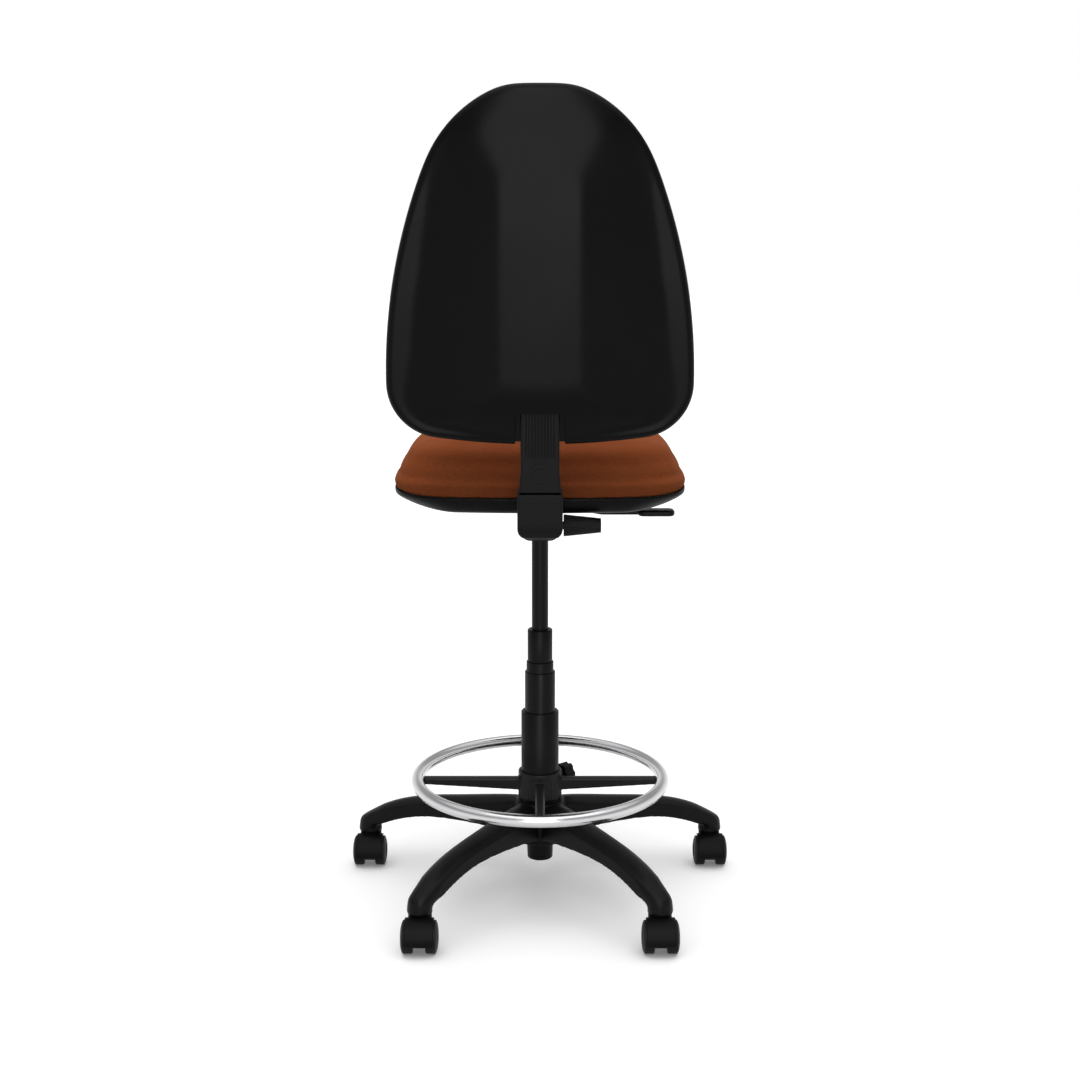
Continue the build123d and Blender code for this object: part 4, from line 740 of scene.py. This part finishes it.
def seat_pad():
    """The seat's pad: crowned, with a falling front edge and a roll above the pan."""
    line, facing = both_sides(*seat_half(150))
    # Height, inset from the outline, and more inset at the two ends
    steps = [(686.2, 5.0, 1.5), (690.0, 1.6, 1.0), (696.0, 1.0, 0.3), (704.0, 4.6, 0), (712.0, 7.8, 0),
             (722.0, 10.4, 0), (734.5, 16.0, 0), (744.0, 19.5, 0), (750.0, 24.5, 0), (754.0, 30.5, 0),
             (756.5, 39.0, 0), (758.0, 52.0, 0)]
    ends = blend_step(165.0, 222.0, np.abs(line[:, :1]))
    rings = []
    for z, inset, tucked in steps:
        flat = line - (inset + tucked * ends) * facing
        rings.append(np.concatenate([flat, np.full((len(flat), 1), z)], 1))
    middle = np.array([0.0, -20.0])
    top = rings[-1][:, :2]
    for s, z in ((0.2, 760.5), (0.4, 762.5), (0.6, 764.0), (0.8, 764.8)):
        flat = top + (middle - top) * s
        rings.append(np.concatenate([flat, np.full((len(flat), 1), z)], 1))
    points = np.concatenate(rings)
    front_fall = 16.0
    fall = blend_step(-90.0, -250.0, points[:, 1]) * np.clip((points[:, 2] - 700.0) / 60.0, 0, 1)
    points[:, 2] -= front_fall * fall
    points *= MM
    obj = new_piece("seat_pad", points, loft_faces(len(line), len(rings)), fabric, "seat", 0)
    remesh(obj, PAD_VOXEL, 3)
    co = coordinates(obj.data) / MM
    inflate(obj, 1 - blend_step(700.0, 730.0, co[:, 2]))
    co = coordinates(obj.data) / MM
    inside = edge_distance(co[:, :2], line)
    near = line[np.argmin(((co[:, None, :2] - line[None]) ** 2).sum(2), 1)]
    way = near - co[:, :2]
    way /= np.maximum(np.linalg.norm(way, axis=1, keepdims=True), 1e-6)
    z = co[:, 2]
    skirt = blend_step(12.0, 5.0, inside)
    roll = 2.8 * np.exp(-((z - 698.0) / 6.0) ** 2) - 1.9 * np.exp(-((z - 710.0) / 3.6) ** 2)
    roll = np.where(roll > 0, roll, roll * blend_step(130.0, 205.0, np.abs(co[:, 0])))
    reach = np.minimum(roll, np.maximum(inside - 0.4, -9.0)) * skirt
    co[:, :2] += way * reach[:, None]
    drop = blend_step(9.0, 4.5, inside) * (1 - blend_step(686.5, 700.0, z))
    co[:, 2] -= (2.8 + 3.8 * blend_step(60.0, 185.0, co[:, 1])) * drop
    put_coordinates(obj.data, co * MM)
    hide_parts("seat_cushion")
    finish_pad(obj)


def back_pad():
    """The back's pad: crowned, orange round its edge, lined in black where it lies on the board, and black
    behind the stem as painted shade in the notch.
    """
    line, facing = back_line(300)
    # Place behind the rim plane, and inset from the outline
    steps = [(-1.0, 4.2), (-6.0, 1.8), (-12.0, 1.2), (-22.0, 5.5), (-32.0, 12.5), (-40.0, 19.5),
             (-45.0, 27.0), (-47.5, 34.0)]
    rings = [on_back(*(line - inset * facing).T, np.full(len(line), n)) for n, inset in steps]
    last = line - steps[-1][1] * facing
    middle = np.array([0.0, 200.0])
    for s, n in ((0.15, -49.5), (0.35, -52.0), (0.55, -53.6), (0.75, -54.4)):
        flat = last + (middle - last) * s
        rings.append(on_back(flat[:, 0], flat[:, 1], np.full(len(flat), n)))
    points = np.concatenate(rings)
    faces = [f[::-1] for f in loft_faces(len(line), len(rings))]
    obj = new_piece("back_pad", points, faces, fabric, "back", 0)
    remesh(obj, PAD_VOXEL, 3)
    place = from_back(coordinates(obj.data))
    inflate(obj, 1 - blend_step(10.0, 30.0, -place[:, 2]))
    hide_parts("back_cushion")
    finish_pad(obj)
    obj.data.materials.append(lining_and_shade)
    normal = np.empty(3 * len(obj.data.polygons))
    obj.data.polygons.foreach_get("normal", normal)
    rearward = normal.reshape(-1, 3) @ np.array([0, math.cos(RAKE), -math.sin(RAKE)])
    centre = np.empty(3 * len(obj.data.polygons))
    obj.data.polygons.foreach_get("center", centre)
    place = from_back(centre.reshape(-1, 3))
    # The pad's rear behind the stem, seen through the notch, is painted black as painted shade.
    shade_behind_stem = (np.abs(place[:, 0]) < 50) & (place[:, 1] < 66)
    hidden = (place[:, 2] > -4) & (edge_distance(place[:, :2], line) > 6)
    lined = (hidden | shade_behind_stem) & (rearward > 0.75)
    obj.data.polygons.foreach_set("material_index", lined.astype(np.int32))


back_shell()
shell_tab()
seat_pad()
back_pad()

# Mouldings with rounded edges

base = moulded_copy("base_star", "base_moulding", nylon, "base", 1.6 * MM, 4)
spot = coordinates(base.data) / MM
nose = blend_step(280.0, 305.0, np.hypot(spot[:, 0], spot[:, 1])) * blend_step(60.0, 72.0, spot[:, 2])
put_coordinates(base.data, even_out(base.data, coordinates(base.data), 0.6 * nose, 70))

moulded_copy("stem_boot", "boot_moulding", cover_black, "back_stem", 1.2 * MM, 8)

pan = moulded_copy("seat_pan", "pan_moulding", pan_black_painted_shade, "seat", 2.0 * MM, 5)
spot = coordinates(pan.data) / MM
deep = 1 - blend_step(656.0, 685.0, spot[:, 2])
across = np.abs(spot[:, 0])
rim_lift = 2.5 - 6.5 * blend_step(40.0, 185.0, spot[:, 1]) + 0.8 * blend_step(190.0, 225.0, across)
spot[:, 2] += 10.0 * blend_step(125.0, 218.0, across) * deep
spot[:, 2] += rim_lift * blend_step(676.0, 685.0, spot[:, 2])
wider = 1 + 3.0 / 222.0 * blend_step(662.0, 680.0, spot[:, 2])
spot[:, 0] *= wider
spot[:, 1] = (spot[:, 1] + 20.0) * wider - 20.0
put_coordinates(pan.data, spot * MM)

# The hub takes the paler nylon, painted light against the seat's shade.
hub = moulded_copy("foot_ring_hub", "ring_hub_moulding", ring_nylon_painted_light, "foot_ring", 1.1 * MM, 3)
spot = coordinates(hub.data) / MM
reach = np.hypot(spot[:, 0], spot[:, 1])
turn = np.arctan2(spot[:, 1], spot[:, 0])
HUB_R, FLUTES, FLUTE_DEPTH = 36.0, 48, 0.55
fluted = blend_step(152.5, 154.5, spot[:, 2]) * (1 - blend_step(187.0, 189.0, spot[:, 2]))
flute = (np.abs(reach - HUB_R) < 0.8) * fluted * np.clip(0.5 + 1.2 * np.cos(FLUTES * turn), 0, 1)
spot[:, :2] *= (1 - FLUTE_DEPTH * flute / np.maximum(reach, 1))[:, None]
put_coordinates(hub.data, spot * MM)

# Castor hoods: one moulding, set on each castor
hood = moulded_copy("castor_1_hood", "castor_1_cover", hood_black, "castor_1", 0.9 * MM, 4)
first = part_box("castor_1_hood")[0]
for number in range(2, 6):
    twin = bpy.data.objects.new(f"castor_{number}_cover", hood.data)
    scene.collection.objects.link(twin)
    twin.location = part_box(f"castor_{number}_hood")[0] - first
    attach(twin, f"castor_{number}")
    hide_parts(f"castor_{number}_hood")

# Foot ring
ring_points, ring_faces = [], []
AROUND, ACROSS = 288, 36
RING_R, RING_TUBE, RING_Z = 203.6, 10.25, 184.0
for i in range(AROUND):
    turn = 2 * math.pi * i / AROUND
    for j in range(ACROSS):
        lean = 2 * math.pi * j / ACROSS
        reach = RING_R + RING_TUBE * math.cos(lean)
        height = RING_Z + RING_TUBE * math.sin(lean)
        ring_points.append((reach * MM * math.cos(turn), reach * MM * math.sin(turn), height * MM))
        here, across = i * ACROSS, (j + 1) % ACROSS
        ahead = ((i + 1) % AROUND) * ACROSS
        ring_faces.append((here + j, ahead + j, ahead + across, here + across))
ring = new_piece("ring_tube", ring_points, ring_faces, chrome, "foot_ring", 0)
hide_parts("foot_ring")

# Materials of the CAD pieces that stay
FINISH = {
    steel_black: ["column_tube", "gas_cylinder", "back_bar", "mechanism_housing", "seat_plate", "lift_lever",
                  "tilt_spindle"],
    steel: ["piston_rod", "retaining_clip", "thrust_bearing", "seat_bolts", "back_screws", "ring_stud",
            "valve_button"],
    tyre: ["bump_stop"],
    birch: ["seat_board"],
    board_painted_shade: ["back_board"],
    cover_black: ["stem_cap"],
    cover_ribs_light_and_shade: ["stem_cover"],
}
finish_of = {name: mat for mat, names in FINISH.items() for name in names}
for name, obj in nodes.items():
    mat = finish_of.get(name, nylon)
    if name.endswith("_axle") or name.endswith("_stem"):
        mat = steel
    if "_wheel_" in name:
        mat = hub_plastic
    obj.data.materials.clear()
    obj.data.materials.append(mat)


def ease_edges(name, width):
    """Rounded edges on a CAD piece, without touching its mesh."""
    obj = nodes[name]
    join = obj.modifiers.new("join", "WELD")
    join.merge_threshold = 0.00001
    edge = obj.modifiers.new("edge", "BEVEL")
    edge.width = width
    edge.segments = 3
    edge.limit_method = "ANGLE"
    edge.angle_limit = math.radians(50)
    edge.harden_normals = True


for name in ("column_sleeve", "column_tube", "guide_bush", "guide_sleeve"):
    ease_edges(name, 0.8 * MM)


# Studio

def world_light():
    """Soft light from above; white to the camera, and grey higher up in reflections."""
    world = bpy.data.worlds.new("studio")
    scene.world = world
    world.use_nodes = True
    tree = world.node_tree
    tree.nodes.clear()
    add = adder(tree)
    path, shown = seen_directly(add)
    way = add("ShaderNodeSeparateXYZ", [("Vector", add("ShaderNodeTexCoord").outputs["Generated"])])
    up = way.outputs["Z"]
    light_tint = add("ShaderNodeValToRGB", [("Fac", up)])
    ramp(light_tint, [(height, (tone,) * 3) for height, tone in ((0.0, 0.1), (0.35, 0.4), (1.0, 1.3))])
    seen_tint = add("ShaderNodeValToRGB", [("Fac", up)])
    seen_tones = ((0.0, 1), (0.24, 1), (0.36, 0.45), (0.62, 0.45), (0.74, 1))
    ramp(seen_tint, [(height, (tone,) * 3) for height, tone in seen_tones])
    light = add("ShaderNodeBackground", [("Color", light_tint.outputs["Color"])])
    seen = add("ShaderNodeBackground", [("Color", seen_tint.outputs["Color"])])
    mix = add("ShaderNodeMixShader", [("Fac", shown), (1, light.outputs[0]), (2, seen.outputs[0])])
    white = add("ShaderNodeBackground")
    white.inputs["Color"].default_value = (1, 1, 1, 1)
    clear = [("Fac", path.outputs["Is Camera Ray"]), (1, mix.outputs[0]), (2, white.outputs[0])]
    add("ShaderNodeOutputWorld", [("Surface", add("ShaderNodeMixShader", clear).outputs[0])])


def sun_light(name, way, angle, strength):
    """A broad lamp that shines one way."""
    light = bpy.data.lights.new(name, "SUN")
    light.energy = strength
    light.angle = math.radians(angle)
    lamp = bpy.data.objects.new(name, light)
    lamp.rotation_euler = Vector(way).to_track_quat("-Z", "Y").to_euler()
    scene.collection.objects.link(lamp)


def soft_box(name, place, size, radiance):
    """A standing panel behind the camera that shows in gloss only."""
    light = bpy.data.lights.new(name, "AREA")
    light.shape = "RECTANGLE"
    light.size, light.size_y = size
    light.energy = radiance * math.pi * size[0] * size[1]
    lamp = bpy.data.objects.new(name, light)
    lamp.location = place
    lamp.rotation_euler = Vector((0, -1, 0)).to_track_quat("-Z", "Y").to_euler()
    lamp.visible_camera = False
    lamp.visible_diffuse = False
    scene.collection.objects.link(lamp)


world_light()
sun_light("overhead", (0.05, -0.12, -1.0), 60, 0.8)
soft_box("rear_box", (0.0, 3.3, 1.2), (1.25, 2.3), 4.4)
soft_box("upper_box", (0.0, 3.3, 4.4), (1.25, 4.0), 5.6)

# Floor: pale to the camera and in gloss, with the object's shadow, and dim in the light it throws back
floor_mesh = bpy.data.meshes.new("floor")
floor_mesh.from_pydata([(-60, -60, 0), (60, -60, 0), (60, 60, 0), (-60, 60, 0)], [], [(0, 1, 2, 3)])
floor = bpy.data.objects.new("floor", floor_mesh)
scene.collection.objects.link(floor)
mat, tree, shader, add = new_material("floor")
tree.nodes.remove(shader)
_, shown = seen_directly(add)
tone = add("ShaderNodeMix", [("Factor", shown)], data_type="RGBA")
tone.inputs[6].default_value = (0.3, 0.3, 0.3, 1)
tone.inputs[7].default_value = (1.0, 1.0, 1.0, 1)
lit = add("ShaderNodeBsdfDiffuse", [("Color", tone.outputs[2])])
extra = add("ShaderNodeEmission", [("Strength", calc(add, "MULTIPLY", shown, 0.14))])
both = add("ShaderNodeAddShader", [(0, lit.outputs[0]), (1, extra.outputs[0])])
tree.links.new(both.outputs[0], tree.nodes["Material Output"].inputs["Surface"])
floor_mesh.materials.append(mat)

# Camera, fitted to the castors, the ring and the column
PITCH = math.radians(10.11)
cam_data = bpy.data.cameras.new("camera")
cam_data.lens = 50.0
cam_data.sensor_width = 36.0
cam = bpy.data.objects.new("camera", cam_data)
cam.location = (0, 2.3946, 1.0128)
cam.rotation_euler = (math.radians(90) - PITCH, 0, math.radians(180))
scene.collection.objects.link(cam)
scene.camera = cam

scene.view_settings.view_transform = "Standard"
